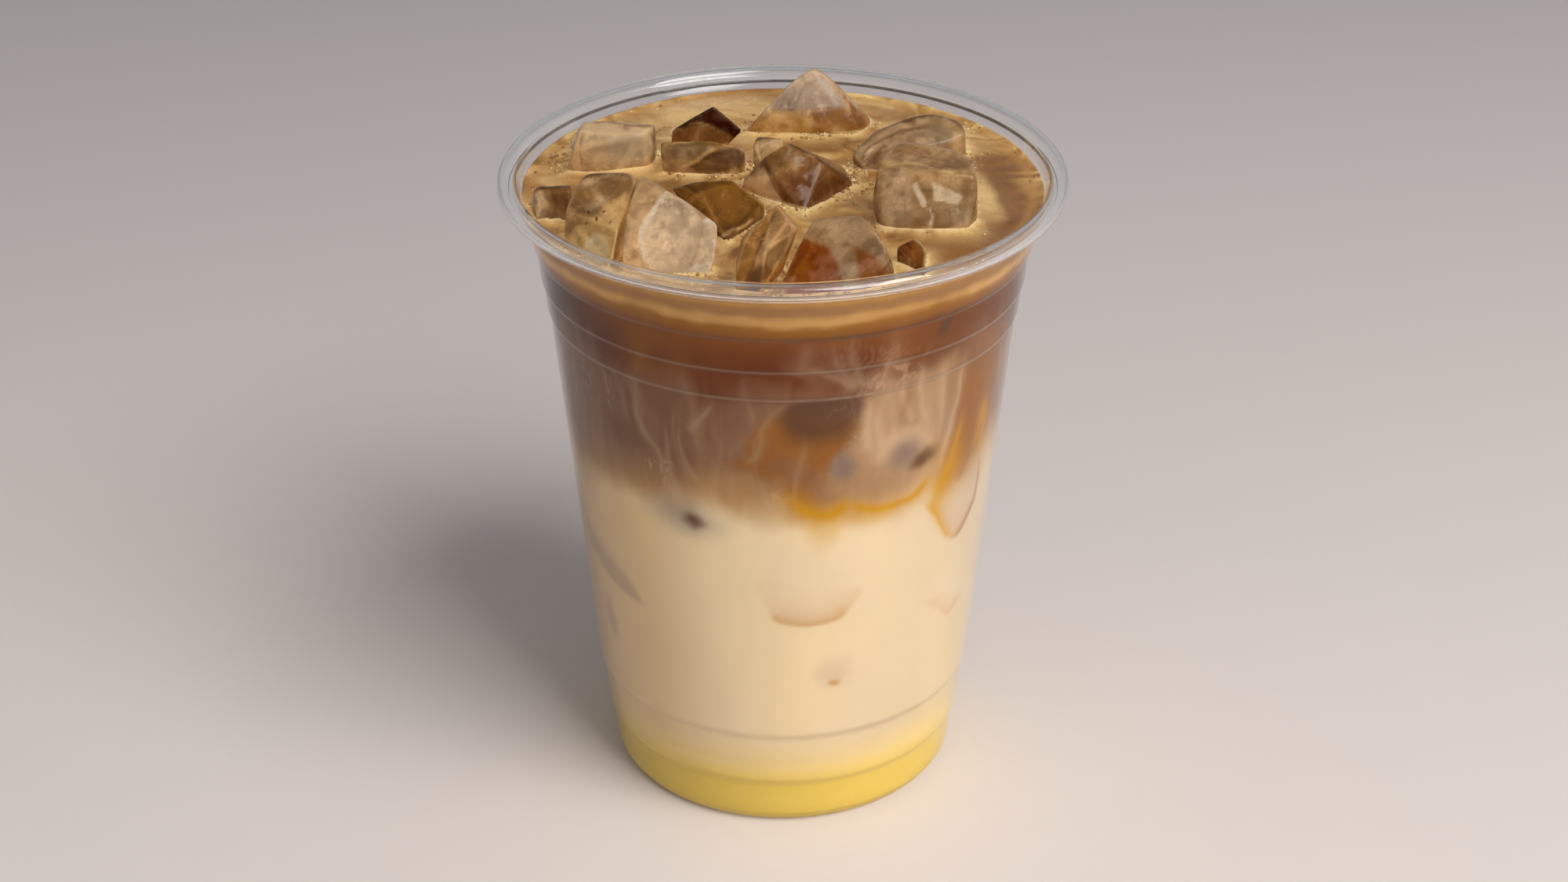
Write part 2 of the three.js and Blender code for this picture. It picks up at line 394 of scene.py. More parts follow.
def outline_gap(at: Array, ring: Array) -> Array:
    """Give the distance from points to a closed outline, under 0 inside it.

    Args:
        at: points, one pair a row.
        ring: corners of the outline, one pair a row.

    Returns:
        The distance of each point.
    """
    closed = np.vstack([ring, ring[:1]])
    inside = np.zeros(len(at), dtype=bool)
    for a, b in zip(ring, closed[1:]):
        crossed = (a[1] > at[:, 1]) != (b[1] > at[:, 1])
        inside ^= crossed & (at[:, 0] < a[0] + (at[:, 1] - a[1]) * (b[0] - a[0]) / (b[1] - a[1] or 1e-9))
    gap, _ = line_gap(at, closed)
    return np.where(inside, -gap, gap)


def line_gap(at: Array, line: Array) -> tuple[Array, Array]:
    """Give the distance from points to a line, and how far along it they lie.

    Args:
        at: points, one pair a row.
        line: points of the line, one pair a row.

    Returns:
        The distance, and the share of the way along the line, for each point.
    """
    best, along = np.full(len(at), np.inf), np.zeros(len(at))
    for k in range(len(line) - 1):
        step = line[k + 1] - line[k]
        t = np.clip((at - line[k]) @ step / (step @ step), 0.0, 1.0)
        gap = np.linalg.norm(at - line[k] - t[:, None] * step, axis=1)
        along = np.where(gap < best, (k + t) / (len(line) - 1), along)
        best = np.minimum(gap, best)
    return best, along


def oval_gap(across: Array, up: Array, size: Pair, turn: float) -> Array:
    """Tell how far out places lie in an oval: 0 in its middle, 1 on its border.

    Args:
        across: places across, from the middle of the oval.
        up: places up, from the middle of the oval.
        size: half sizes of the oval.
        turn: how far it is turned, in degrees.

    Returns:
        The share of the way out for each place.
    """
    a = math.radians(turn)
    u = (across * math.cos(a) + up * math.sin(a)) / size[0]
    v = (up * math.cos(a) - across * math.sin(a)) / size[1]
    return np.hypot(u, v)


def in_picture(points: Array) -> Array:
    """Give the places of points in the 2000 by 1125 picture that the camera takes.

    Args:
        points: points in millimetres.

    Returns:
        The place across and down for each point.
    """
    rest = points - np.array([0.0, 0.0, AIM_HEIGHT])
    scale = PICTURE_SCALE / (DISTANCE - rest @ TO_VIEWER)
    across, down = PICTURE_MIDDLE
    return np.stack([across + scale * points[:, 0], down - scale * (rest @ UP_IN_VIEW)], axis=1)


# finishes


class Nodes:
    """A small helper that puts shader nodes into a material and joins them."""

    def __init__(self, name: str) -> None:
        """Start an empty material with its output node.

        Args:
            name: name of the material.
        """
        self.material = bpy.data.materials.new(name)
        self.material.use_nodes = True
        self.tree = self.material.node_tree
        self.tree.nodes.clear()
        self.output = self.tree.nodes.new("ShaderNodeOutputMaterial")

    def add(
        self, kind: str, inputs: dict[str | int, object] | None = None, **options: object
    ) -> bpy.types.Node:
        """Add a node, set its options, and set or join its inputs.

        Args:
            kind: the node's type name without the word ShaderNode.
            inputs: a value or an output socket for each input.
            options: the node's own settings.

        Returns:
            The node.
        """
        node = self.tree.nodes.new("ShaderNode" + kind)
        for key, value in options.items():
            setattr(node, key, value)
        for key, value in (inputs or {}).items():
            if isinstance(value, Socket):
                self.tree.links.new(value, node.inputs[key])
            else:
                node.inputs[key].default_value = value
        return node

    def position(self, scale: tuple[float, float, float] = (1.0, 1.0, 1.0)) -> Socket:
        """Give the object's own coordinates, in metres times scale."""
        where = self.add("TexCoord").outputs["Object"]
        return self.add("Mapping", {"Vector": where, "Scale": scale}).outputs["Vector"]

    def painted(self) -> tuple[Socket, Socket]:
        """Give the colour that is painted on the piece, and its share."""
        shade = self.add("Attribute", attribute_name="shade")
        return shade.outputs["Color"], shade.outputs["Alpha"]

    def grain(self, vector: Socket, scale: float, detail: float = 3.0, rough: float = 0.5) -> Socket:
        """Give noise of a scale from 0 to 1."""
        inputs = {"Vector": vector, "Scale": scale, "Detail": detail, "Roughness": rough}
        return self.add("TexNoise", inputs).outputs["Fac"]

    def ramp(self, share: Socket, *stops: tuple[float, Colour]) -> Socket:
        """Turn a share into a colour.

        Args:
            share: the share.
            stops: the places of two colours, and the colours.

        Returns:
            The colour.
        """
        node = self.add("ValToRGB", {"Fac": share})
        for element, (place, colour) in zip(node.color_ramp.elements, stops):
            element.position, element.color = place, colour
        return node.outputs["Color"]

    def span(self, value: Socket, start: Pair, end: Pair) -> Socket:
        """Carry a value from one span to another, clipped."""
        spans = {"From Min": start[0], "From Max": start[1], "To Min": end[0], "To Max": end[1]}
        return self.add("MapRange", {"Value": value} | spans).outputs["Result"]

    def math(self, operation: str, first: Socket, second: Socket | float) -> Socket:
        """Work out one sum of two values, clipped to 0 and 1."""
        return self.add("Math", {0: first, 1: second}, operation=operation, use_clamp=True).outputs[0]

    def blend(self, share: Socket | float, first: Socket, second: object, kind: str = "MIX") -> Socket:
        """Blend two colours by a share."""
        inputs = {0: share, 6: first, 7: second}
        return self.add("Mix", inputs, data_type="RGBA", blend_type=kind).outputs[2]

    def bump(self, height: Socket, distance: float, strength: float) -> Socket:
        """Tilt the surface by a height in metres."""
        inputs = {"Height": height, "Distance": distance, "Strength": strength}
        return self.add("Bump", inputs).outputs["Normal"]

    def surface(self, look: dict[str, object], lamp_tint: Colour | None = None) -> Material:
        """Finish the material with one shader.

        Args:
            look: the inputs of the shader.
            lamp_tint: the tint of a clear shader for shadow rays, so that lamps reach what lies behind,
                or nothing for a material that casts a shadow.

        Returns:
            The material.
        """
        shader = self.add("BsdfPrincipled", look).outputs[0]
        if lamp_tint is not None:
            rays = self.add("LightPath").outputs["Is Shadow Ray"]
            through = self.add("BsdfTransparent", {"Color": lamp_tint}).outputs[0]
            shader = self.add("MixShader", {0: rays, 1: shader, 2: through}).outputs[0]
        self.tree.links.new(shader, self.output.inputs["Surface"])
        return self.material


@dataclass(frozen=True)
class ClearPlastic:
    """Thin clear PET: smooth, glossy, with faint ripples from forming."""

    name: str = "clear_plastic"
    refraction: float = 1.28
    roughness: float = 0.02
    clear: float = 1.0
    gloss: float = 0.6
    colour: Colour = (0.985, 0.99, 0.99, 1.0)
    lamp_tint: Colour = (0.96, 0.96, 0.96, 1.0)

    def build(self) -> Material:
        """Make the material, which lets lamps through to the drink.

        Returns:
            The material.
        """
        n = Nodes(self.name)
        waves = n.grain(n.position((1.0, 1.0, 0.35)), 90.0, 2.0)
        look = {
            "Base Color": self.colour,
            "Roughness": self.roughness,
            "IOR": self.refraction,
            "Specular Tint": (self.gloss, self.gloss, self.gloss, 1.0),
            "Transmission Weight": self.clear,
            "Normal": n.bump(waves, 0.00003, 0.35),
        }
        return n.surface(look, self.lamp_tint)


@dataclass(frozen=True)
class SideFinish:
    """Coffee and milk seen through the wall: the painted colour, with fine upright threads by its share."""

    name: str = "layered_coffee"
    thread_scale: float = 420.0
    dull: Colour = (0.93, 0.91, 0.90, 1.0)
    bright: Colour = (1.05, 1.05, 1.05, 1.0)

    def build(self) -> Material:
        """Make the material from the painted colour and the threads.

        Returns:
            The material.
        """
        n = Nodes(self.name)
        colour, share = n.painted()
        threads = n.grain(n.position((1.0, 1.0, 0.2)), self.thread_scale, 5.0, 0.62)
        tint = n.ramp(threads, (0.3, self.dull), (0.7, self.bright))
        look = {
            "Base Color": n.blend(share, colour, tint, "MULTIPLY"),
            "Roughness": n.span(threads, (0.3, 0.7), (0.42, 0.55)),
            "Specular IOR Level": 0.05,
            "Subsurface Weight": 0.1,
            "Subsurface Radius": (1.0, 0.9, 0.75),
            "Subsurface Scale": 0.002,
            "Normal": n.bump(threads, 0.00002, 0.2),
        }
        return n.surface(look)


@dataclass(frozen=True)
class FoamFinish:
    """The wet top: the painted colour, with froth by its share."""

    name: str = "coffee_foam"
    froth_scale: float = 1500.0
    pit: Colour = (0.80, 0.72, 0.62, 1.0)
    plain: Colour = (1.0, 1.0, 1.0, 1.0)

    def build(self) -> Material:
        """Make the glossy material with froth in its colour, gloss and height.

        Returns:
            The material.
        """
        n = Nodes(self.name)
        colour, share = n.painted()
        froth = n.grain(n.position(), self.froth_scale, 4.0, 0.65)
        speck = n.ramp(froth, (0.30, self.pit), (0.46, self.plain))
        look = {
            "Base Color": n.blend(share, colour, speck, "MULTIPLY"),
            "Roughness": n.span(froth, (0.3, 0.7), (0.16, 0.34)),
            "IOR": 1.34,
            "Specular IOR Level": 0.28,
            "Subsurface Weight": 0.1,
            "Subsurface Radius": (1.0, 0.9, 0.75),
            "Subsurface Scale": 0.0015,
            "Normal": n.bump(n.math("MULTIPLY", froth, share), 0.00012, 0.6),
        }
        return n.surface(look)


@dataclass(frozen=True)
class IceFinish:
    """Wet ice: partly clear, in its painted colour, with ripples, and frost and specks by its share."""

    name: str = "wet_ice"
    clear: float = 0.3
    ripple_scale: float = 170.0
    patch_scale: float = 420.0
    speck_scale: float = 1700.0
    lamp_tint: Colour = (0.8, 0.77, 0.73, 1.0)

    def build(self) -> Material:
        """Make the material, which lets lamps through to the drink below.

        Returns:
            The material.
        """
        n = Nodes(self.name)
        where = n.position()
        colour, share = n.painted()
        ripple = n.grain(where, self.ripple_scale, 3.0, 0.5)
        speck = n.grain(where, self.speck_scale, 3.0, 0.6)
        patch = n.grain(where, self.patch_scale, 4.0, 0.62)
        frost = n.math("MULTIPLY", share, n.span(patch, (0.35, 0.65), (0.3, 1.0)))
        mottle = n.ramp(patch, (0.3, (0.90, 0.88, 0.86, 1.0)), (0.7, (1.0, 1.0, 1.0, 1.0)))
        sparkle = n.ramp(speck, (0.38, (0.72, 0.68, 0.62, 1.0)), (0.58, (1.15, 1.15, 1.15, 1.0)))
        base = n.blend(frost, n.blend(1.0, colour, mottle, "MULTIPLY"), sparkle, "MULTIPLY")
        frosty = n.math("MULTIPLY", n.math("MULTIPLY", speck, frost), 0.3)
        height = n.math("ADD", n.math("MULTIPLY", ripple, 0.8), frosty)
        look = {
            "Base Color": base,
            "Roughness": n.span(frost, (0.0, 0.8), (0.04, 0.42)),
            "IOR": 1.31,
            "Specular IOR Level": 0.32,
            "Transmission Weight": self.clear,
            "Normal": n.bump(height, 0.0004, 0.5),
        }
        return n.surface(look, self.lamp_tint)


@dataclass(frozen=True)
class BubbleFinish:
    """Small wet bubbles in the foam."""

    name: str
    colour: Colour
    paler: float = 1.8
    roughness: float = 0.06
    coat: float = 0.6

    def build(self) -> Material:
        """Make the glossy material with a slight change of colour.

        Returns:
            The material.
        """
        n = Nodes(self.name)
        shade = n.grain(n.position(), 700.0, 2.0)
        pale = tuple(min(1.0, c * self.paler) for c in self.colour[:3]) + (1.0,)
        colour = n.ramp(shade, (0.35, self.colour), (0.65, pale))
        return n.surface({"Base Color": colour, "Roughness": self.roughness, "Coat Weight": self.coat})


@dataclass(frozen=True)
class FloorFinish:
    """A pale matt table, with painted shade that greys it gently between two distances behind the drink, in
    metres.
    """

    name: str = "pale_table"
    near: Colour = linear(240, 230, 224)
    # the far, greyer colour is painted shade; the grain also blends towards it
    far: Colour = linear(200, 193, 193)
    shade_over: Pair = (-0.10, 0.42)

    def build(self) -> Material:
        """Make the matt material with a faint grain, and the painted shade towards the back.

        Returns:
            The material.
        """
        n = Nodes(self.name)
        parts = n.add("SeparateXYZ", {"Vector": n.add("TexCoord").outputs["Object"]}).outputs
        # painted shade: the table greys from the near colour to the far one behind the drink
        colour = n.ramp(n.span(parts[1], self.shade_over, (0.0, 1.0)), (0.0, self.near), (1.0, self.far))
        grain = n.grain(n.position(), 60.0, 4.0)
        colour = n.blend(n.span(grain, (0.3, 0.7), (0.0, 0.04)), colour, self.far)
        return n.surface({"Base Color": colour, "Roughness": 0.7, "Normal": n.bump(grain, 0.0001, 0.1)})


# the tumbler


@dataclass
class Tumbler:
    """The clear tumbler: one thin wall from the base up into a rolled lip."""

    height: float = 116.5
    rim_radius: float = 49.0
    wall: float = 0.6
    curl_radius: float = 1.65
    curl_end: float = -115.0
    curl_points: int = 27
    lip_depth: float = 4.1
    side_from: float = 29.5
    corner_cut: float = 0.9
    columns: int = 768
    outer_face: Outline = (
        (0.0, 1.6), (25.4, 1.6), (26.8, 0.5), (27.8, 0.0), (28.9, 0.0), (30.2, 0.5), (31.2, 1.5),
        (31.65, 3.0), (32.25, 9.5), (32.7, 10.1), (33.95, 20.5), (34.4, 21.1), (41.0, 91.9), (41.45, 92.5),
        (41.85, 97.4), (42.3, 98.0), (42.85, 103.8), (43.35, 104.4), (45.35, 112.4), (45.98, 114.2),
    )

    def face_line(self) -> Array:
        """Give the outward face of the wall up to the neck, with small cut corners."""
        return cut_corners(np.array(self.outer_face), self.corner_cut)

    def inside_line(self, depth: float) -> Array:
        """Give the face at a depth inside the outward face, as radius and height."""
        return offset_line(self.face_line(), depth)

    def side_radius(self, depth: float, z: Array) -> Array:
        """Read the radius at a depth inside the outward face, for heights above the base.

        Args:
            depth: how far inside the outward face.
            z: heights in millimetres.

        Returns:
            The radius at each height.
        """
        line = self.inside_line(depth)
        line = line[line[:, 0] > self.side_from]
        return np.interp(z, line[:, 1], line[:, 0])

    def curl_line(self) -> Array:
        """Give the outward face of the rolled lip, an arc from the neck over and down.

        Returns:
            Radius and height, one pair a row.
        """
        middle = np.array([self.rim_radius - self.curl_radius, self.height - self.curl_radius])
        angle = np.radians(np.linspace(180.0, self.curl_end, self.curl_points))
        return middle + (self.curl_radius - self.wall) * np.stack([np.cos(angle), np.sin(angle)], axis=1)

    def build(self, wall_look: ClearPlastic, lip_look: ClearPlastic) -> Piece:
        """Make the wall: its face, the curl, and the same line set in by the wall's thickness.

        Args:
            wall_look: the clear wall.
            lip_look: the rolled lip, which looks a little whiter.

        Returns:
            The tumbler.
        """
        line = np.vstack([self.face_line()[:-1], self.curl_line()])
        inner = offset_line(line, self.wall)[::-1]
        loop = np.vstack([line[1:], inner[:-1]])
        corners, quads, ends = closed_shell(loop, self.columns, line[0, 1], inner[-1, 1])
        made = new_object("tumbler", corners, quads, ends)
        made.data.materials.append(wall_look.build())
        made.data.materials.append(lip_look.build())
        looks = np.zeros(len(made.data.polygons), np.int32)
        looks[: len(quads)] = corners[quads, 2].mean(axis=1) > self.height - self.lip_depth
        made.data.polygons.foreach_set("material_index", looks)
        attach(made, "root")
        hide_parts("cup")
        return made


# the ice


@dataclass(frozen=True)
class Mark:
    """A patch or a line on ice, by its places in the picture; a width of 0 fills the outline. A few are
    painted highlights.
    """

    places: Outline
    tone: tuple[int, int, int]
    share: float
    soft: float = 3.0
    width: float = 0.0

    def cover(self, at: Array) -> Array:
        """Give the share of the mark's tone.

        Args:
            at: places in the picture.

        Returns:
            The share at each place.
        """
        line = np.array(self.places)
        if self.width:
            gap, along = line_gap(at, smooth_curve(line))
            return self.share * bell(gap, self.width) * smooth(-0.02, 0.12, along) * smooth(1.02, 0.88, along)
        return self.share * smooth(self.soft, -self.soft, outline_gap(at, line))


@dataclass(frozen=True)
class IceLook:
    """One block's screen colours on top and at its foot, the height of the change, and its marks."""

    top: tuple[int, int, int]
    foot: tuple[int, int, int]
    change: float
    marks: tuple[Mark, ...]


@dataclass
class Block:
    """One piece of ice: its CAD faces as planes, softened where they meet."""

    node: str
    look: IceLook
    seed: int
    sharpness: float = 38.0
    facet_sharpness: float = 26.0
    least_face: float = 0.001
    same_way: float = 0.9986
    ripple: float = 0.3
    swell: float = 0.1
    brightest: float = 0.82
    cells: int = 54
    back_tone: Colour = linear(206, 170, 122)
    pale_tone: Colour = linear(238, 210, 166)
    # colour of the painted shade on the sides turned from the viewer
    turned_shade_tone: Colour = linear(92, 58, 30)
    middle: Array = field(init=False)
    normal: Array = field(init=False)
    away: Array = field(init=False)

    def __post_init__(self) -> None:
        """Read the planes of the CAD solid, largest first, and keep one of those that nearly agree."""
        mesh = bpy.data.objects[self.node].data
        points = np.empty(len(mesh.vertices) * 3)
        mesh.vertices.foreach_get("co", points)
        points = points.reshape(-1, 3) / MM
        mesh.calc_loop_triangles()
        index = np.empty(len(mesh.loop_triangles) * 3, np.int32)
        mesh.loop_triangles.foreach_get("vertices", index)
        a, b, c = (points[index.reshape(-1, 3)[:, k]] for k in range(3))
        normal = np.cross(b - a, c - a)
        size = np.linalg.norm(normal, axis=1)
        order = np.argsort(-size)
        order = order[size[order] > self.least_face]
        self.middle = (points.min(axis=0) + points.max(axis=0)) / 2.0
        normal = normal[order] / size[order][:, None]
        away = np.sum(normal * (a[order] - self.middle), axis=1)
        kept: list[int] = []
        for i in range(len(order)):
            if all(normal[i] @ normal[k] < self.same_way for k in kept):
                kept.append(i)
        self.normal, self.away = normal[kept], away[kept]

    def grain(self, points: Array) -> tuple[Array, ...]:
        """Give what is uneven in the ice, from clouds of three sizes.

        Args:
            points: places in millimetres.

        Returns:
            Patches, veils and grit about 0, and the share of frost.
        """
        patch = clouds(points / 4.5, 3, self.seed + 31) - 0.5
        veil = clouds(points / 1.6, 3, self.seed + 57) - 0.5
        grit = clouds(points / 0.75, 2, self.seed + 63) - 0.5
        return patch, veil, grit, np.clip(0.35 + 1.6 * patch + 0.8 * veil, 0.0, 1.0)

    def ways_out(self, points: Array) -> Array:
        """Give the share of the way out to each plane at points, 0 for a plane that faces away."""
        return np.maximum((points - self.middle) @ (self.normal / self.away[:, None]).T, 0.0)

    def reach(self, points: Array) -> Array:
        """Tell how far out points lie: under 1 inside the rounded block, over 1 outside.

        It is (sum of (n.u / d)^p)^(1/p) over the planes with normal n at distance d that face u.

        Args:
            points: places in millimetres.

        Returns:
            The share of the way out to the surface.
        """
        share = self.ways_out(points)
        top = np.maximum(share.max(axis=-1), 1e-6)
        return top * np.sum((share / top[..., None]) ** self.sharpness, axis=-1) ** (1.0 / self.sharpness)

    def facets(self, points: Array) -> Array:
        """Give the share that each plane has in the surface; an edge lies where two have a half.

        Args:
            points: places in millimetres.

        Returns:
            One row of shares for each point.
        """
        share = self.ways_out(points)
        power = (share / np.maximum(share.max(axis=-1), 1e-6)[:, None]) ** self.facet_sharpness
        return power / power.sum(axis=-1, keepdims=True)

    def main_tones(self, points: Array, patch: Array) -> Array:
        """Colour the top, the foot that takes the drink's tone, and the side that the viewer doesn't see.

        Args:
            points: corners in millimetres.
            patch: the patches of the grain.

        Returns:
            A linear colour for each corner.
        """
        rise = points[:, 2] - LEVEL + 3.0 * patch
        sunk = smooth(self.look.change + 1.3, self.look.change - 1.3, rise)
        shade = mix(evenly(linear(*self.look.top), len(points)), linear(*self.look.foot), sunk)
        behind = smooth(0.1, -0.2, (points - self.middle) @ TO_VIEWER / self.away.min())
        return mix(shade, self.back_tone, 0.55 * behind * smooth(-0.15, 0.1, patch))

    def add_grain_and_painted_light(self, shade: Array, points: Array, most: Array, facing: Array) -> Array:
        """Add veins, hairs and frosty specks, painted highlights along the edges with painted shade just
        within them, and painted shade on the sides turned from the viewer.

        Args:
            shade: the colours so far.
            points: corners in millimetres.
            most: the greatest share that a plane has at each corner.
            facing: how far each corner faces the viewer.

        Returns:
            The new colours.
        """
        patch, veil, grit, frost = self.grain(points)
        flow = points / np.array([2.2, 2.2, 4.5]) + 2.0 * patch[:, None]
        vein = bell(clouds(flow, 3, self.seed + 77) - 0.5, 0.03)
        hair = bell(clouds(flow * 1.6, 2, self.seed + 83) - 0.47, 0.018)
        pale = mix(1.5 * shade, self.pale_tone, np.full(len(shade), 0.3))
        calm = 0.3 + 0.7 * smooth(0.16, 0.36, shade.max(axis=1))
        shade = shade * (1.0 + calm * (0.25 * patch + 0.25 * veil + 0.4 * grit * frost))[:, None]
        shade = mix(shade, 0.55 * shade, 0.7 * vein * smooth(-0.15, 0.1, patch))
        shade = mix(shade, pale, 0.45 * calm * hair * smooth(-0.1, 0.15, veil))
        # painted shade: a darker band just within each edge
        shade = mix(shade, 0.6 * shade, 0.6 * smooth(0.6, 0.8, most) * smooth(0.998, 0.9, most))
        # painted highlight: a pale line along each edge, broken up by the grain
        broken = smooth(-0.2, 0.12, veil + 0.5 * patch)
        shade = mix(shade, pale, 0.7 * calm * smooth(0.66, 0.5, most) * broken)
        shade = mix(shade, pale, 0.8 * calm * frost * smooth(0.16, 0.25, grit))
        # painted shade: darker where the ice turns from the viewer, towards its outline
        turned = smooth(0.34, 0.1, facing) * smooth(-0.25, 0.0, facing)
        return mix(shade, self.turned_shade_tone, 0.7 * turned * smooth(0.35, -0.2, patch))

    def colour(self, points: Array) -> Array:
        """Colour the block: its main tones, each face a little lighter or darker, the marks, the grain, and
        painted highlights and shade.

        Args:
            points: corners in millimetres.

        Returns:
            A linear colour and the share of frost for each corner.
        """
        patch, veil, _, frost = self.grain(points)
        parts = self.facets(points)
        lean = parts @ self.normal
        facing = (lean @ TO_VIEWER) / np.linalg.norm(lean, axis=1)
        light = parts @ np.random.default_rng(self.seed).uniform(0.88, 1.12, len(self.normal))
        shade = self.main_tones(points, patch) * light[:, None]
        at = in_picture(points) + np.column_stack([8.0 * patch + 3.0 * veil, 6.0 * veil + 4.0 * patch])
        for mark in self.look.marks:
            shade = mix(shade, linear(*mark.tone), smooth(-0.2, 0.1, facing) * mark.cover(at))
        shade = self.add_grain_and_painted_light(shade, points, parts.max(axis=1), facing)
        shade = shade * np.minimum(1.0, self.brightest / shade.max(axis=1))[:, None]
        return np.column_stack([shade, frost])

    def build(self, wet: Material) -> Piece:
        """Make the block over a ball of directions, with clouds that ripple it.

        Each corner lies at u / reach(u) along its direction u.

        Args:
            wet: the wet ice.

        Returns:
            The block.
        """
        ball, quads = ball_of_directions(self.cells)
        points = self.middle + ball / self.reach(self.middle + ball)[:, None]
        wave = clouds(points / 5.5, 3, self.seed) - 0.5
        fine = clouds(points / 1.8, 2, self.seed + 9) - 0.5
        points = points + ball * (self.ripple * (1.8 * wave + 0.45 * fine) + self.swell)[:, None]
        made = new_object(self.node + "_wet", points, quads)
        made.data.materials.append(wet)
        paint(made, self.colour(points))
        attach(made, "root")
        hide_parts(self.node)
        return made


# colours of the drink


class Tone(Enum):
    """Colours seen at the wall and on top."""

    COFFEE = linear(118, 64, 28)
    COFFEE_DEEP = linear(100, 50, 20)
    COFFEE_WARM = linear(138, 82, 34)
    MAUVE = linear(138, 104, 82)
    BEIGE = linear(172, 140, 106)
    TAN = linear(188, 152, 104)
    WISP = linear(204, 178, 150)
    AMBER = linear(150, 98, 34)
    CARAMEL = linear(198, 146, 16)
    MILK = linear(232, 209, 166)
    ROSE = linear(220, 198, 166)
    TAN_EDGE = linear(194, 146, 88)
    DARK_ICE = linear(92, 64, 46)
    PURPLE = linear(140, 122, 112)
    BLUE_GREY = linear(160, 144, 128)
    BROWN_SPOT = linear(104, 72, 50)
    SHADE = linear(186, 160, 134)
    YELLOW = linear(222, 192, 92)
    YELLOW_SOFT = linear(236, 206, 128)
    CREMA = linear(200, 154, 92)
    CREMA_BROWN = linear(150, 108, 68)
    FOAM = linear(184, 136, 74)
    FOAM_PALE = linear(240, 204, 138)
    SURFACE = linear(124, 82, 44)
    SURFACE_DARK = linear(96, 50, 20)
    POCKET = linear(172, 120, 64)
    # painted shade: the drink deep in the pockets under the ice
    POCKET_SHADED = linear(126, 84, 46)


def around(angle: Array, start: float) -> Array:
    """Give the way round from a start angle in millimetres, the short way."""
    return ((angle - start + 180.0) % 360.0 - 180.0) * math.pi / 180.0 * UNROLL


def nearby(angle: Array, z: Array, places: Outline, pad: float) -> tuple[Array, Array, Array]:
    """Unroll places at the wall, and pick the points that lie about them.

    Args:
        angle: degrees from the front.
        z: heights.
        places: places as (degrees, height).
        pad: how far about the places a point still counts.

    Returns:
        The places and the picked points in millimetres, and the numbers of the picked points.
    """
    start = places[0][0]
    line = np.array([((a - start) * math.pi / 180.0 * UNROLL, h) for a, h in places])
    s = around(angle, start)
    low, high = line.min(axis=0) - pad, line.max(axis=0) + pad
    near = np.nonzero((s > low[0]) & (s < high[0]) & (z > low[1]) & (z < high[1]))[0]
    return line, np.column_stack([s[near], z[near]]), near


@dataclass(frozen=True)
class Thread:
    """A thread at the wall through places of (degrees from the front, height), with a width at each end."""

    places: Outline
    widths: Pair
    tone: Tone
    share: float

    def draw(self, colour: Array, angle: Array, z: Array) -> None:
        """Blend the thread into the colours: a bell across its nearest stretch, thinned at both ends.

        Args:
            colour: the colours so far, which it changes.
            angle: degrees from the front.
            z: heights.
        """
        line, at, near = nearby(angle, z, self.places, 4.0 * max(self.widths))
        if not len(near):
            return
        gap, along = line_gap(at, smooth_curve(line))
        width = self.widths[0] + (self.widths[1] - self.widths[0]) * along
        taper = smooth(0.0, 0.35, along) * smooth(1.0, 0.8, along)
        share = self.share * taper * (0.55 * bell(gap, width) + 0.45 * bell(gap, 2.6 * width))
        colour[near] = mix(colour[near], self.tone.value, share)


@dataclass(frozen=True)
class Spot:
    """A soft oval: its middle (degrees and height at the wall), half sizes, turn, tone, share, softness."""

    at: Pair
    size: Pair
    turn: float
    tone: Tone
    share: float
    soft: float = 0.6

    def draw(self, colour: Array, angle: Array, z: Array) -> None:
        """Blend the oval into the colours, full in the middle and eased over its soft share.

        Args:
            colour: the colours so far, which it changes.
            angle: degrees from the front.
            z: heights.
        """
        s, h = around(angle, self.at[0]), z - self.at[1]
        near = np.nonzero(np.maximum(np.abs(s), np.abs(h)) < 2.5 * max(self.size))[0]
        gap = oval_gap(s[near], h[near], self.size, self.turn)
        share = self.share * smooth(1.0 + self.soft, 1.0 - self.soft, gap)
        colour[near] = mix(colour[near], self.tone.value, share)


@dataclass(frozen=True)
class Cloud:
    """An uneven patch at the wall: its outline as (degrees, height), tone, share and softness."""

    outline: Outline
    tone: Tone
    share: float
    soft: float

    def draw(self, colour: Array, angle: Array, z: Array) -> None:
        """Blend the patch into the colours, eased over its softness.

        Args:
            colour: the colours so far, which it changes.
            angle: degrees from the front.
            z: heights.
        """
        line, at, near = nearby(angle, z, self.outline, 2.0 * self.soft)
        share = self.share * smooth(self.soft, -self.soft, outline_gap(at, line))
        colour[near] = mix(colour[near], self.tone.value, share)


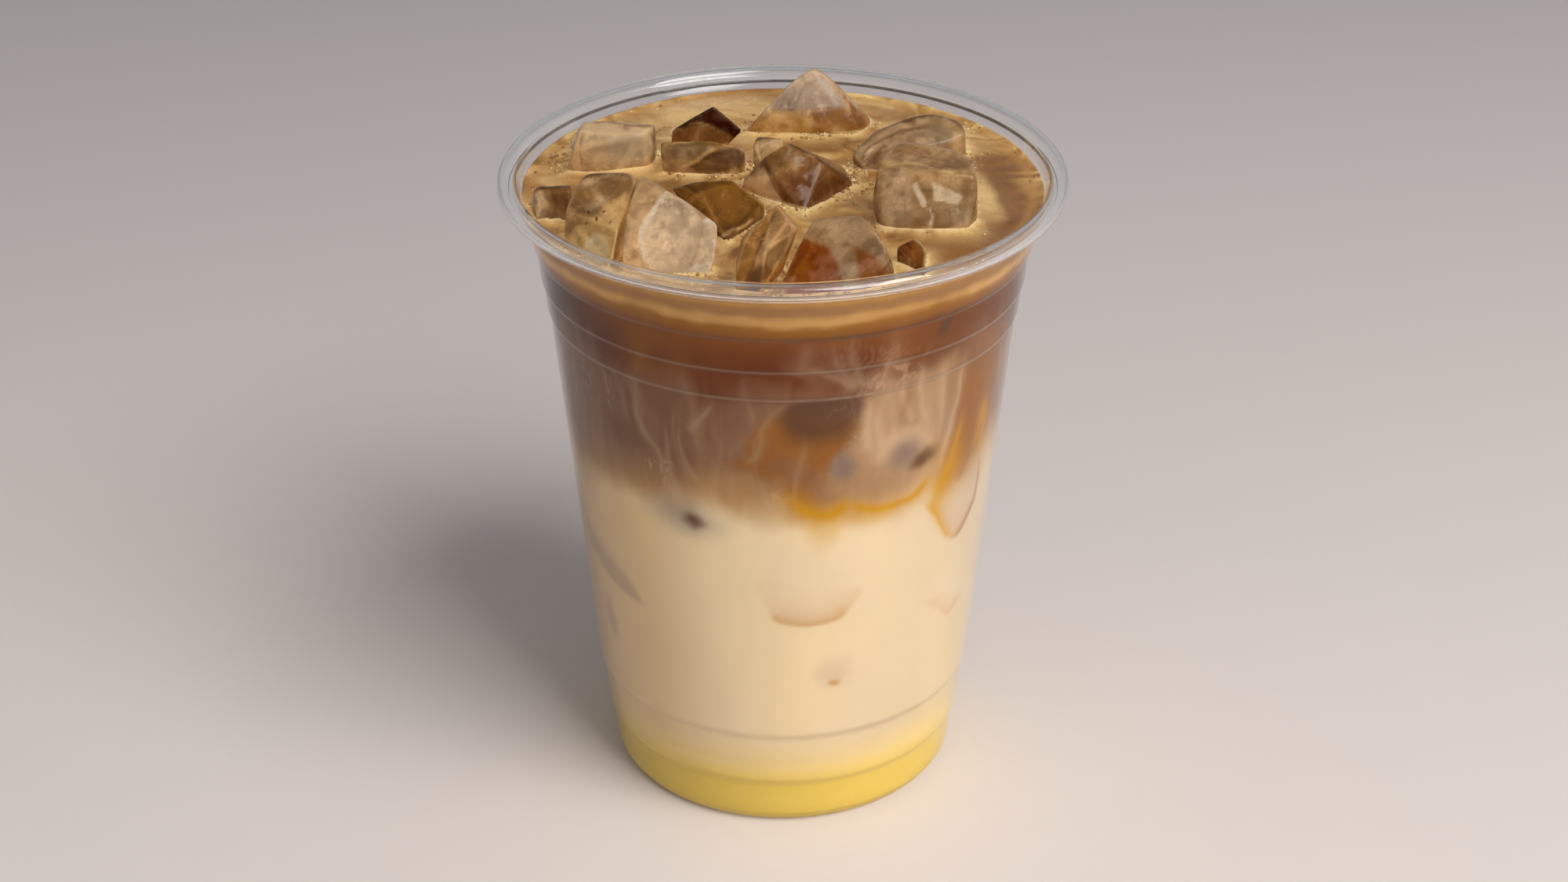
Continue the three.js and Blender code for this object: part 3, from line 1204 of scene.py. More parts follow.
@dataclass(frozen=True)
class SunkIce:
    """The outline of ice that rests near the wall: its face fades upwards, its lower border shows darker."""

    outline: Outline
    face: Tone
    share: float
    border: Tone
    border_share: float
    border_width: float
    soft_low: float
    soft_high: float

    def draw(self, colour: Array, angle: Array, z: Array) -> None:
        """Blend the sunk ice into the colours.

        The gap to the outline is the greatest of the gaps to its sides, so it is a convex shape. It is
        sharp where the ice touches the wall, low down, and soft where milk lies before it, high up.

        Args:
            colour: the colours so far, which it changes.
            angle: degrees from the front.
            z: heights.
        """
        ring, at, near = nearby(angle, z, self.outline, 3.0 + self.soft_high)
        if not len(near):
            return
        low, high = ring[:, 1].min(), ring[:, 1].max()
        step = np.roll(ring, -1, axis=0) - ring
        out = np.stack([step[:, 1], -step[:, 0]], axis=1) / np.linalg.norm(step, axis=1)[:, None]
        if np.sum(out * (ring - ring.mean(axis=0))) < 0:
            out = -out
        gaps = ((at[:, None] - ring[None]) * out[None]).sum(axis=2)
        top = gaps.max(axis=1)
        below = gaps - top[:, None]
        gap = top + 0.5 * np.log(np.sum(np.exp(below / 0.5), axis=1))
        downward = np.clip(-(np.exp(below / 0.8) @ out[:, 1]), 0.0, 1.0)
        soft = self.soft_low + (self.soft_high - self.soft_low) * smooth(low, high, at[:, 1])
        within = smooth(soft, -soft, gap)
        border = self.border_share * downward * fade(-gap, self.border_width) * within
        face = mix(colour[near], self.face.value, self.share * within)
        colour[near] = mix(face, self.border.value, border)


@dataclass(frozen=True)
class Currents:
    """Points on the drink's side, with the clouds that bend and streak what is painted there."""

    points: Array
    angle: Array
    z: Array
    low: Array
    sway: Array
    curl: Array
    curl_up: Array
    streak: Array
    fine: Array

    @classmethod
    def at(cls, points: Array) -> "Currents":
        """Work out the clouds: broad and tall ones, and finer ones that the broad ones bend.

        Args:
            points: points on the side, in millimetres.

        Returns:
            The points with their clouds.
        """
        x, y, z = points.T
        low = clouds(np.column_stack([x / 15, y / 15, z / 30]), 3, 3) - 0.5
        sway = clouds(np.column_stack([x / 6, y / 6, z / 15]), 3, 5) - 0.5
        curl, curl_up = (clouds(points / 3.2, 3, seed) - 0.5 for seed in (8, 9))
        flow = np.column_stack([x / 5 + 5 * low, y / 5 + 4 * sway, z / 24 + 2.4 * low])
        swirl = np.column_stack([x / 1.9 + 7 * sway, y / 1.9 + 7 * low, z / 16 + 3 * sway])
        streak, fine = clouds(flow, 4, 11) - 0.5, clouds(swirl, 4, 23) - 0.5
        return cls(points, np.degrees(np.arctan2(x, -y)), z, low, sway, curl, curl_up, streak, fine)

    @property
    def fore(self) -> Array:
        """Share that fades out towards the very back, where the angle turns over."""
        return smooth(175.0, 115.0, np.abs(self.angle))

    def bent(self, curl: float, sway: float, rise: float, lift: float) -> tuple[Array, Array]:
        """Give the angles bent by shares of curl and sway, and the heights bent by shares of both."""
        angle = self.angle + curl * self.curl + sway * self.sway
        return angle, self.z + rise * self.curl_up + lift * self.sway


@dataclass
class WallPaint:
    """Colours the drink's side from its layers, threads, ovals and sunk ice, all the way round, with painted
    light and shade, and painted highlights at the wall's steps.
    """

    over_milk: float = 64.0
    under_coffee: float = 79.0
    spots: tuple[Spot, ...] = (
        Spot((10.6, 66.2), (2.6, 3.4), -10, Tone.CARAMEL, 0.4, 0.9),
        Spot((22, 67.6), (4, 1.6), -8, Tone.CARAMEL, 0.35, 0.9),
        Spot((22.5, 75), (7, 5), 8, Tone.BEIGE, 0.75, 0.8),
        Spot((15, 78.6), (1.9, 2.3), 10, Tone.PURPLE, 0.9, 0.8),
        Spot((30.5, 79.2), (5.6, 3.9), 12, Tone.ROSE, 0.8, 0.7),
        Spot((31.5, 78.4), (3, 2.6), 25, Tone.PURPLE, 0.8, 0.9),
        Spot((37.2, 76.6), (2.7, 1.4), 28, Tone.BROWN_SPOT, 0.9, 0.8),
        Spot((-25.2, 66.6), (5.6, 3), 0, Tone.BLUE_GREY, 0.75, 0.95),
        Spot((-22.9, 66.4), (1.9, 1.25), 0, Tone.BROWN_SPOT, 0.95, 0.9),
        Spot((38.8, 101.9), (1, 1.9), -30, Tone.DARK_ICE, 1, 0.5),
        Spot((-29.3, 98.3), (2.2, 1.3), 20, Tone.COFFEE_DEEP, 0.6, 0.8),
        Spot((14.8, 35.2), (3, 2.6), 0, Tone.SHADE, 0.4, 0.9),
        Spot((14.9, 33.1), (1.2, 0.8), 0, Tone.TAN_EDGE, 0.9, 0.6),
        Spot((-60, 36.5), (1.6, 3.4), 10, Tone.SHADE, 0.6, 0.8),
        Spot((131, 72), (5, 2.6), 12, Tone.CARAMEL, 0.7, 0.7),
        Spot((-118, 76.5), (2.8, 2.4), 15, Tone.PURPLE, 0.8, 0.7),
        Spot((-152, 67.5), (4.2, 2.4), 0, Tone.BLUE_GREY, 0.7, 0.9),
        Spot((-151, 67.3), (1.5, 1), 0, Tone.BROWN_SPOT, 0.9, 0.8),
        Spot((99, 77.5), (2.2, 2), 0, Tone.PURPLE, 0.75, 0.7),
        Spot((176, 70), (4, 2.2), 8, Tone.CARAMEL, 0.6, 0.8),
        Spot((-96, 33), (1.2, 0.8), 0, Tone.TAN_EDGE, 0.8, 0.6),
        Spot((160, 36), (2.6, 2.2), 0, Tone.SHADE, 0.5, 0.9),
    )
    patches: tuple[Cloud, ...] = (
        Cloud(((19, 91.5), (24, 93.5), (33, 93), (43, 95.5), (47, 90), (44, 78), (41, 72.5), (34, 70.5),
            (20, 71.5), (15.5, 74), (13.5, 80), (17.5, 85)), Tone.BEIGE, 0.8, 1.8),
        Cloud(((-8, 85.5), (-3.5, 88.5), (2, 89.5), (10, 88), (17, 88.5), (18, 85.5), (15, 82.5),
            (11.2, 80.6), (10.6, 77), (12, 74), (15, 73), (14.4, 70.2), (11, 68.6), (6.5, 69.4), (2.5, 72),
            (-1, 75.5), (-5, 77.2), (-10, 78.2), (-11.5, 79.6), (-8.6, 81.5)), Tone.AMBER, 0.88, 1.1),
        Cloud(((47.6, 91.5), (66, 87), (62, 78), (59, 72.5), (51, 68.5), (42, 65.6), (44, 72), (48, 80)),
            Tone.AMBER, 0.8, 1.2),
        Cloud(((-1, 82), (5, 80.5), (9, 77), (12.5, 73.2), (10.5, 72), (6, 74), (0, 76), (-4, 78.5)),
            Tone.MAUVE, 0.5, 1.6),
        Cloud(((-14, 78), (-8, 77.5), (-1, 75), (3, 71), (0, 68.5), (-10, 69.5), (-20, 71), (-22, 75)),
            Tone.TAN, 0.6, 2.6),
        Cloud(((128, 85), (134, 89), (146, 87), (150, 79), (142, 72), (130, 70), (125, 77)), Tone.AMBER, 0.85,
            1.3),
        Cloud(((-124, 92), (-110, 93), (-102, 86), (-106, 75), (-120, 72), (-128, 80)), Tone.BEIGE, 0.8, 2),
        Cloud(((94, 92), (108, 93), (114, 84), (108, 73), (96, 74), (91, 83)), Tone.BEIGE, 0.8, 2),
    )
    sunk: tuple[SunkIce, ...] = (
        SunkIce(((-1.6, 88.6), (2.4, 92), (18.7, 92.2), (19.6, 89.5), (16.1, 84.6), (9.5, 83.4), (2, 84.4)),
            Tone.DARK_ICE, 0.8, Tone.DARK_ICE, 0, 1, 2.6, 0.6),
        SunkIce(((-6.3, 56), (-2.9, 46.9), (6.6, 45.3), (16.3, 46.7), (21.5, 52.2), (18, 62), (-4, 63)),
            Tone.ROSE, 0.7, Tone.TAN_EDGE, 0.95, 2, 0.5, 5),
        SunkIce(((41.4, 66.2), (52.2, 55), (62, 59.9), (60.6, 68), (54, 71), (47, 69.5)), Tone.SHADE, 0.4,
            Tone.TAN_EDGE, 0.95, 1.1, 0.3, 1.8),
        SunkIce(((43.5, 45.4), (55.4, 37.9), (61.7, 40.1), (60.1, 47.4), (50, 49.5)), Tone.ROSE, 0.7,
            Tone.TAN_EDGE, 0.7, 1.3, 0.6, 3),
        SunkIce(((-68, 53.5), (-68, 49), (-54.3, 45), (-42, 44.4), (-47.8, 48.9), (-58.6, 52)), Tone.SHADE,
            0.65, Tone.SHADE, 0.5, 1, 0.8, 2.6),
        SunkIce(((122, 58), (128, 47), (142, 46), (150, 54), (144, 62), (126, 63)), Tone.ROSE, 0.7,
            Tone.TAN_EDGE, 0.9, 1.8, 0.5, 5),
        SunkIce(((-128, 60), (-118, 51), (-106, 55), (-104, 64), (-120, 66)), Tone.ROSE, 0.75, Tone.TAN_EDGE,
            0.8, 1.2, 0.4, 3),
        SunkIce(((-172, 46), (-160, 39), (-150, 42), (-152, 50), (-166, 52)), Tone.ROSE, 0.6, Tone.TAN_EDGE,
            0.7, 1.3, 0.6, 3),
        SunkIce(((160, 88), (164, 92), (179, 91), (180, 87), (172, 82.5), (164, 83)), Tone.DARK_ICE, 0.9,
            Tone.DARK_ICE, 0, 1, 2, 0.6),
        SunkIce(((84, 49), (90, 42), (101, 44), (103, 51), (92, 54)), Tone.ROSE, 0.6, Tone.TAN_EDGE, 0.6, 1.2,
            0.7, 3.5),
        SunkIce(((-92, 89), (-88, 92), (-76, 91), (-78, 85), (-86, 83)), Tone.DARK_ICE, 0.75, Tone.DARK_ICE,
            0, 1, 2.2, 0.8),
    )
    threads: tuple[Thread, ...] = (
        Thread(((57, 101), (57, 95), (56, 87), (54, 80), (50.5, 74.5), (46.5, 70), (42, 65.6)), (4.8, 1.4),
            Tone.AMBER, 0.85),
        Thread(((50, 84), (48.5, 77), (46, 71.5), (41.6, 66)), (0.6, 0.9), Tone.CARAMEL, 0.9),
        Thread(((60.5, 84), (59, 77), (57, 72.5)), (0.7, 0.7), Tone.CARAMEL, 0.8),
        Thread(((60.6, 73), (62.6, 66), (61.8, 60.5), (56, 56.4), (52.4, 55)), (0.3, 0.35), Tone.CREMA_BROWN,
            0.85),
        Thread(((41, 67.5), (43.4, 63.6), (46.6, 60), (52.4, 55)), (0.6, 0.3), Tone.CARAMEL, 0.9),
        Thread(((-1, 75.6), (1, 73), (4.5, 70.6), (8.5, 69.2), (12, 68.9), (14.8, 70.6), (15.2, 72.8)),
            (1.3, 1.1), Tone.CARAMEL, 0.98),
        Thread(((14.6, 73.2), (17, 70.8), (20.5, 69.4), (26.6, 68.4), (33.5, 68.9), (38.2, 70.7),
            (41.2, 73.4)), (0.9, 0.7), Tone.CARAMEL, 0.98),
        Thread(((-34, 105), (-34.6, 99), (-35, 92)), (1.3, 1.3), Tone.AMBER, 0.5),
        Thread(((17.6, 98), (18.4, 94.5), (18.8, 91.6)), (0.6, 0.35), Tone.DARK_ICE, 0.6),
        Thread(((-34.5, 98.7), (-37, 91.8), (-37.3, 85.6), (-35.7, 82.1), (-31.7, 78.3), (-30.3, 73.9),
            (-27.7, 70.4), (-24.8, 68.2)), (0.25, 0.4), Tone.WISP, 0.4),
        Thread(((-30.4, 88.6), (-29.2, 82.7), (-29.2, 78.8), (-28.8, 75), (-26.9, 72.1), (-24.5, 69.4)),
            (0.22, 0.36), Tone.WISP, 0.38),
        Thread(((-24.4, 89.4), (-25.6, 82.6), (-24.7, 78.9), (-22.8, 76), (-20.3, 74)), (0.22, 0.34),
            Tone.WISP, 0.34),
        Thread(((-16, 91.5), (-18.2, 89.1), (-21, 86.4), (-23.4, 83.8)), (0.2, 0.4), Tone.WISP, 0.34),
        Thread(((2, 92.5), (-2.5, 89.2), (-4.9, 85.6), (-5.4, 83.2), (-6.9, 80.8), (-11.1, 78.7)), (0.4, 0.5),
            Tone.BEIGE, 0.6),
        Thread(((10.5, 106.5), (10.8, 101.6), (12.3, 98.5), (15.3, 95.7), (19.1, 94.4), (21, 94.9),
            (22.7, 98)), (0.6, 0.8), Tone.WISP, 0.24),
        Thread(((15.4, 106.3), (15.2, 100.4), (17, 97), (19.2, 93.6)), (0.4, 0.6), Tone.WISP, 0.22),
        Thread(((24.6, 107.6), (25.8, 101.2), (25.2, 98.3), (23, 94.6), (21.2, 91.6)), (0.8, 1), Tone.WISP,
            0.2),
        Thread(((2.8, 97.9), (7.1, 98.1), (12.6, 95.9), (18.3, 93)), (0.4, 0.6), Tone.WISP, 0.28),
        Thread(((6.9, 104.5), (4.4, 99.7), (2, 97)), (0.8, 1.1), Tone.WISP, 0.2),
        Thread(((47.5, 96), (47.4, 90.5), (46.8, 84.5), (44.5, 78), (42, 72)), (0.4, 0.7), Tone.ROSE, 0.5),
        Thread(((20.5, 93), (20.2, 86), (21, 79.5)), (0.5, 0.9), Tone.ROSE, 0.45),
        Thread(((24.5, 97), (25.5, 91), (27.5, 85), (26, 79)), (1.3, 1.7), Tone.WISP, 0.4),
        Thread(((36.5, 96), (37, 89), (39, 82), (40, 76)), (1.1, 1.5), Tone.WISP, 0.38),
        Thread(((30.5, 94), (31.5, 88), (30.5, 83.5)), (0.9, 1.2), Tone.MAUVE, 0.4),
        Thread(((43.5, 93), (43, 86), (42, 79)), (0.8, 1), Tone.MAUVE, 0.35),
        Thread(((53, 79), (49.5, 73.5), (46, 69), (42.2, 65.4), (40.6, 64.2)), (2.6, 1.5), Tone.CARAMEL,
            0.72),
        Thread(((56.5, 82), (55.5, 76), (53.5, 71), (51, 67)), (1.8, 0.9), Tone.AMBER, 0.55),
        Thread(((61.5, 82), (61, 75), (60.8, 70)), (0.9, 0.5), Tone.CARAMEL, 0.75),
        Thread(((22.5, 91.5), (23, 86), (24.5, 80.5), (24, 76.5)), (0.6, 0.9), Tone.WISP, 0.55),
        Thread(((28, 95.5), (29, 91), (31.5, 86.5), (33.5, 84)), (0.5, 0.7), Tone.WISP, 0.5),
        Thread(((33.5, 97.5), (34, 92), (35, 87), (38.5, 82.5)), (0.5, 0.6), Tone.WISP, 0.5),
        Thread(((40.5, 97), (41, 90.5), (42, 84), (41.5, 78.5)), (0.6, 0.8), Tone.WISP, 0.5),
        Thread(((31, 92), (30.2, 88.5), (28.8, 85.5)), (0.4, 0.5), Tone.COFFEE_WARM, 0.3),
        Thread(((134, 73), (142, 70), (150, 70.5), (158, 73.5)), (1.1, 0.8), Tone.CARAMEL, 0.9),
        Thread(((-96, 92), (-98, 84), (-103, 76), (-110, 70)), (3.6, 1), Tone.CARAMEL, 0.7),
    )
    edge_heights: Outline = (
        (-165, 69), (-150, 67), (-130, 70.5), (-112, 66.5), (-92, 70), (-78, 67.5), (-65, 66),
        (-52, 68.6), (-43.4, 69.1), (-30.6, 69), (-19.5, 70.2), (-11.5, 68.6), (0.2, 69.1), (8, 67.5),
        (14, 68.8), (22.3, 68.6), (33.5, 69.4), (40.7, 71.4), (50, 70), (59.2, 69), (68.6, 70.5),
        (85, 67), (104, 70.5), (126, 68), (150, 71), (170, 67.5),
    )
    # painted highlights at the wall's steps: the height of each pale line and its share
    steps: Outline = ((104.3, 0.22), (97.8, 0.25), (92.3, 0.3))
    step_highlight_width: float = 0.22
    # painted shade for the milk's left side
    left_milk_shade: Colour = (0.94, 0.87, 0.77)
    rich_coffee: Colour = (0.88, 0.80, 0.70)
    loose_threads: int = 46
    seed: int = 5

    def more_threads(self) -> list[Thread]:
        """Draw loose threads that hang from the coffee all round, denser away from the front.

        Returns:
            The threads.
        """
        rng = np.random.default_rng(self.seed)
        found = []
        for _ in range(self.loose_threads):
            start = float(rng.uniform(-180.0, 180.0))
            top = float(rng.uniform(86.0, 99.0))
            long = float(rng.uniform(8.0, 22.0))
            lean = float(rng.uniform(-6.0, 6.0))
            t = np.linspace(0.0, 1.0, 6)
            sway = rng.uniform(-2.2, 2.2, 6).cumsum() * 0.6
            places = tuple(zip((start + lean * t + sway).tolist(), (top - long * t).tolist()))
            width = float(rng.uniform(0.2, 0.5))
            faint = (0.36 if abs(start) > 72.0 else 0.16) * float(rng.uniform(0.6, 1.3))
            found.append(Thread(places, (width * 0.7, width), Tone.WISP, faint))
        return found

    def coffee(self, c: Currents) -> Array:
        """Colour the coffee and the crema over it, with painted shade that darkens it away from the front,
        and painted light on the crema at the left.

        Args:
            c: the points.

        Returns:
            A linear colour for each point.
        """
        angle, z = c.angle, c.z
        colour = mix(evenly(Tone.COFFEE.value, len(z)), Tone.COFFEE_DEEP.value, 0.5 + 2.4 * c.streak)
        high = smooth(99.0, 105.0, z + 3 * c.streak) * (0.55 + 1.6 * c.low)
        colour = mix(colour, Tone.COFFEE_WARM.value, high)
        colour = mix(colour, Tone.COFFEE_WARM.value, 0.6 * bell(angle + 30.0, 12.0))
        warm = smooth(16.0, 30.0, angle) * smooth(74.0, 58.0, angle) * smooth(92.0, 98.0, z + 6 * c.low)
        colour = mix(colour, Tone.COFFEE_WARM.value, 0.75 * warm)
        # painted shade: darker towards both sides and towards the back
        away = 0.26 * smooth(14.0, 45.0, angle) + 0.19 * smooth(50.0, 72.0, angle)
        away = away + 0.6 * smooth(-45.0, -66.0, angle)
        colour = colour * (0.65 + c.fore * (0.35 - away))[:, None]
        colour = mix(colour, Tone.AMBER.value, smooth(104.0, 106.6, z + 1.6 * c.sway))
        crema = smooth(106.6, 107.8, z + 2.0 * c.sway) * (0.9 + 0.8 * c.sway)
        colour = mix(colour, Tone.CREMA.value, crema)
        colour = mix(colour, Tone.CREMA_BROWN.value, 0.85 * smooth(108.2, 109.6, z + 1.4 * c.curl))
        colour = mix(colour, Tone.FOAM.value, smooth(110.4, 111.6, z + 1.2 * c.curl))
        lit = c.fore * smooth(104.0, 107.0, z) * smooth(-10.0, -50.0, angle)
        return colour * (1.0 + 0.3 * lit)[:, None]

    def marble(self, c: Currents, colour: Array, edge: Array, marbled: Array) -> Array:
        """Marble the coffee with milk: mauve, beige and dark streaks, thin wisps, and tan by the milk.

        Args:
            c: the points.
            colour: the colours so far.
            edge: height of the milk's border at each point.
            marbled: share of the marbling.

        Returns:
            The new colours.
        """
        x, y, z = c.points.T
        colour = mix(colour, Tone.MAUVE.value, 0.95 * marbled)
        drift = np.column_stack([x / 9 + 6 * c.sway, y / 9 + 6 * c.sway, z / 34 + 5 * c.low])
        thin = bell(clouds(drift, 4, 37) - 0.5, 0.012) + bell(clouds(drift, 4, 38) - 0.47, 0.01)
        where = smooth(0.47, 0.62, clouds(np.column_stack([x / 11, y / 11, z / 18]), 2, 51))
        wisps = (0.12 + 0.65 * marbled) * where * np.clip(thin, 0.0, 1.0) * smooth(105.0, 100.0, z)
        pale = marbled * np.clip(0.28 * c.fine + 0.9 * c.streak + 0.08, 0.0, 0.6)
        dark = marbled * np.clip(-0.45 * c.fine - 0.7 * c.streak, 0.0, 0.4)
        colour = mix(colour, Tone.BEIGE.value, pale)
        colour = mix(colour, Tone.COFFEE.value, dark)
        colour = mix(colour, Tone.WISP.value, wisps)
        return mix(colour, Tone.TAN.value, 0.85 * marbled * smooth(11.0, 0.0, z - edge + 10.0 * c.low))

    def milk(self, c: Currents) -> Array:
        """Colour the milk, and the sweet yellow milk under it, with painted light and shade across the front
        and painted shade on its left side.

        Args:
            c: the points.

        Returns:
            A linear colour for each point.
        """
        # painted light to the left of the front and painted shade to the right
        shine = 1.0 + c.fore * (0.1 * smooth(0.0, -35.0, c.angle) - 0.09 * smooth(10.0, 45.0, c.angle))
        base = mix(evenly(Tone.MILK.value, len(c.z)), Tone.ROSE.value, 0.5 + 1.6 * c.low) * shine[:, None]
        # painted shade: the milk's left side darker and warmer
        base = mix(base, base * np.array(self.left_milk_shade), c.fore * smooth(-18.0, -42.0, c.angle))
        base = mix(base, Tone.YELLOW_SOFT.value, smooth(21.5, 9.5, c.z))
        return mix(base, Tone.YELLOW.value, smooth(14.0, 8.0, c.z))

    def colour(self, points: Array) -> Array:
        """Colour points on the drink's side: coffee, what lies in it, milk, what lies at the wall, and
        painted highlights at the wall's steps.

        Args:
            points: points on the side, in millimetres.

        Returns:
            A linear colour for each point, and the share of fine threads.
        """
        c = Currents.at(points)
        edge = np.interp(c.angle, *np.array(self.edge_heights).T, period=360.0) + 2.5 * c.sway
        marbled = smooth(98.5, 90.0, c.z + 9 * c.low + 13 * c.streak)
        soft = 3.0 + 4.5 * smooth(0.35, 0.65, c.low + 0.5)
        milky = smooth(-soft, soft, edge - c.z)
        colour = self.marble(c, self.coffee(c), edge, marbled)
        for cloud in self.patches:
            cloud.draw(colour, *c.bent(3.2, 2.0, 2.4, 1.2))
        for spot in self.spots:
            if spot.at[1] > self.over_milk:
                spot.draw(colour, *c.bent(2.6, 2.0, 1.8, 1.2))
        for thread in self.more_threads():
            thread.draw(colour, *c.bent(0.8, 0.0, 0.0, 0.0))
        colour = mix(colour, self.milk(c), milky)
        for ice in self.sunk:
            ice.draw(colour, *c.bent(0.9, 0.0, 0.6, 0.0))
        for spot in self.spots:
            if spot.at[1] <= self.under_coffee:
                spot.draw(colour, *c.bent(2.6, 2.0, 1.8, 1.2))
        for thread in self.threads:
            thread.draw(colour, *c.bent(1.3, 0.0, 0.8, 0.0))
        left = bell(c.angle + 28.0, 10.0) * smooth(90.0, 98.0, c.z)
        rich = smooth(105.0, 102.0, c.z) * (1.0 - 0.9 * left) * (1.0 - milky)
        colour = mix(colour, colour * np.array(self.rich_coffee), rich)
        # painted highlights: pale lines at the heights of the wall's steps
        for height, share in self.steps:
            colour = mix(colour, Tone.WISP.value, share * bell(c.z - height, self.step_highlight_width))
        return np.column_stack([colour, marbled * (1.0 - milky)])


@dataclass
class TopPaint:
    """Colours the top of the drink: foam by the ice, swirls of coffee, and amber under the ice, with painted
    shade that darkens it deeper down.
    """

    collar_tone: Colour = linear(250, 228, 182)
    pools: tuple[Spot, ...] = (
        Spot((38.4, -8), (5.4, 18), 6, Tone.SURFACE, 0.98),
        Spot((37.5, -6), (4.6, 15), 6, Tone.SURFACE_DARK, 0.45),
        Spot((34, 10), (5, 6), -20, Tone.SURFACE_DARK, 0.4),
        Spot((30, -27), (8, 8), -30, Tone.SURFACE, 0.95),
        Spot((28, 7), (6, 5), 0, Tone.SURFACE, 0.6),
        Spot((14, 8.5), (6.5, 3), 0, Tone.SURFACE, 0.7),
        Spot((8.5, 19), (8, 3), 0, Tone.SURFACE, 0.7),
        Spot((-37, 9), (4, 8), 10, Tone.FOAM, 0.75),
        Spot((-38.6, -20), (2.2, 3.6), 20, Tone.SURFACE_DARK, 0.95),
        Spot((0, 38), (13, 3.2), 0, Tone.FOAM_PALE, 0.3),
        Spot((24, 32), (9, 2.2), -25, Tone.SURFACE, 0.5),
        Spot((-8.6, -32), (3.5, 3), 0, Tone.AMBER, 0.7),
        Spot((-17, 31), (6, 3), 15, Tone.FOAM_PALE, 0.7),
        Spot((16, 40), (7, 2), -20, Tone.FOAM_PALE, 0.8),
        Spot((34.5, -3), (2.2, 9), 10, Tone.FOAM_PALE, 0.75),
    )

    def colour(self, x: Array, y: Array, depth: Array, near: Array, edge: Array) -> Array:
        """Colour places on top.

        Args:
            x: places across.
            y: places along.
            depth: how far each place lies under the level.
            near: distance to the ice.
            edge: distance to the wall.

        Returns:
            A linear colour and the share of froth for each place.
        """
        flat = np.column_stack([x, y, np.zeros(len(x))])
        bend, turn = clouds(flat / 10.0, 3, 61) - 0.5, clouds(flat / 4.0, 3, 64) - 0.5
        swirl = clouds(np.column_stack([x / 9 + 5 * bend, y / 6 - 6 * bend, 2 * bend]), 3, 67) - 0.5
        fine = clouds(np.column_stack([x / 2.6 + 5 * bend, y / 1.9 - 5 * turn, bend]), 3, 71) - 0.5
        colour = evenly(Tone.FOAM.value, len(x))
        colour = mix(colour, Tone.SURFACE.value, np.clip(0.16 + 3.0 * swirl + 0.4 * fine, 0.0, 0.85))
        colour = mix(colour, Tone.FOAM_PALE.value, np.clip(-2.6 * swirl + 0.5 * fine - 0.02, 0.0, 0.7))
        for pool in self.pools:
            across, up = x - pool.at[0] + 4.5 * bend, y - pool.at[1] + 4.5 * turn
            share = pool.share * smooth(1.7, 0.5, oval_gap(across, up, pool.size, pool.turn))
            colour = mix(colour, pool.tone.value, share * (1.0 + 0.9 * fine))
        collar = np.exp(-((np.maximum(near, 0.0) / (1.6 + 3.2 * (bend + 0.5))) ** 1.4))
        ragged = smooth(-0.3, 0.12, turn + 0.6 * fine)
        colour = mix(colour, Tone.FOAM_PALE.value, 0.85 * collar * ragged)
        colour = mix(colour, self.collar_tone, 0.75 * fade(near, 0.35) * smooth(-0.2, 0.1, bend))
        colour = mix(colour, Tone.FOAM.value, 0.6 * bell(edge - 1.7 - 1.5 * bend, 0.9))
        sunk = smooth(0.1, 0.9, depth)
        colour = mix(colour, Tone.POCKET.value, sunk)
        # painted shade: darker the deeper the drink lies under the ice
        colour = mix(colour, Tone.POCKET_SHADED.value, smooth(1.0, 6.5, depth + 3.0 * turn))
        froth = np.clip(0.25 + 0.75 * collar + 0.6 * swirl, 0.0, 1.0) * (1.0 - sunk)
        return np.column_stack([colour, froth])


# the drink


@dataclass(frozen=True)
class Layer:
    """One layer of the drink: its node, heights, step between rows, and whether it stands on the base."""

    node: str
    low: float
    high: float
    step: float
    stands: bool = False


@dataclass(frozen=True)
class Bubbles:
    """One kind of bubble: its name, how many places are tried, sizes, how far from the ice, and its look."""

    name: str
    count: int
    sizes: Pair
    spread: float
    finish: BubbleFinish


LAYERS = (
    Layer("sweet_milk", 2.6, SWEET_TOP, 0.5, True),
    Layer("milk", SWEET_TOP, MILK_TOP, 0.5),
    Layer("coffee", MILK_TOP, COFFEE_TOP, 0.27),
)
BUBBLES = (
    Bubbles("foam_bubbles", 12000, (0.13, 0.42), 1.8, BubbleFinish("bubble", linear(138, 98, 52))),
    Bubbles("fine_foam", 16000, (0.08, 0.24), 1.5, BubbleFinish("fine_bubble", linear(222, 184, 130))),
)


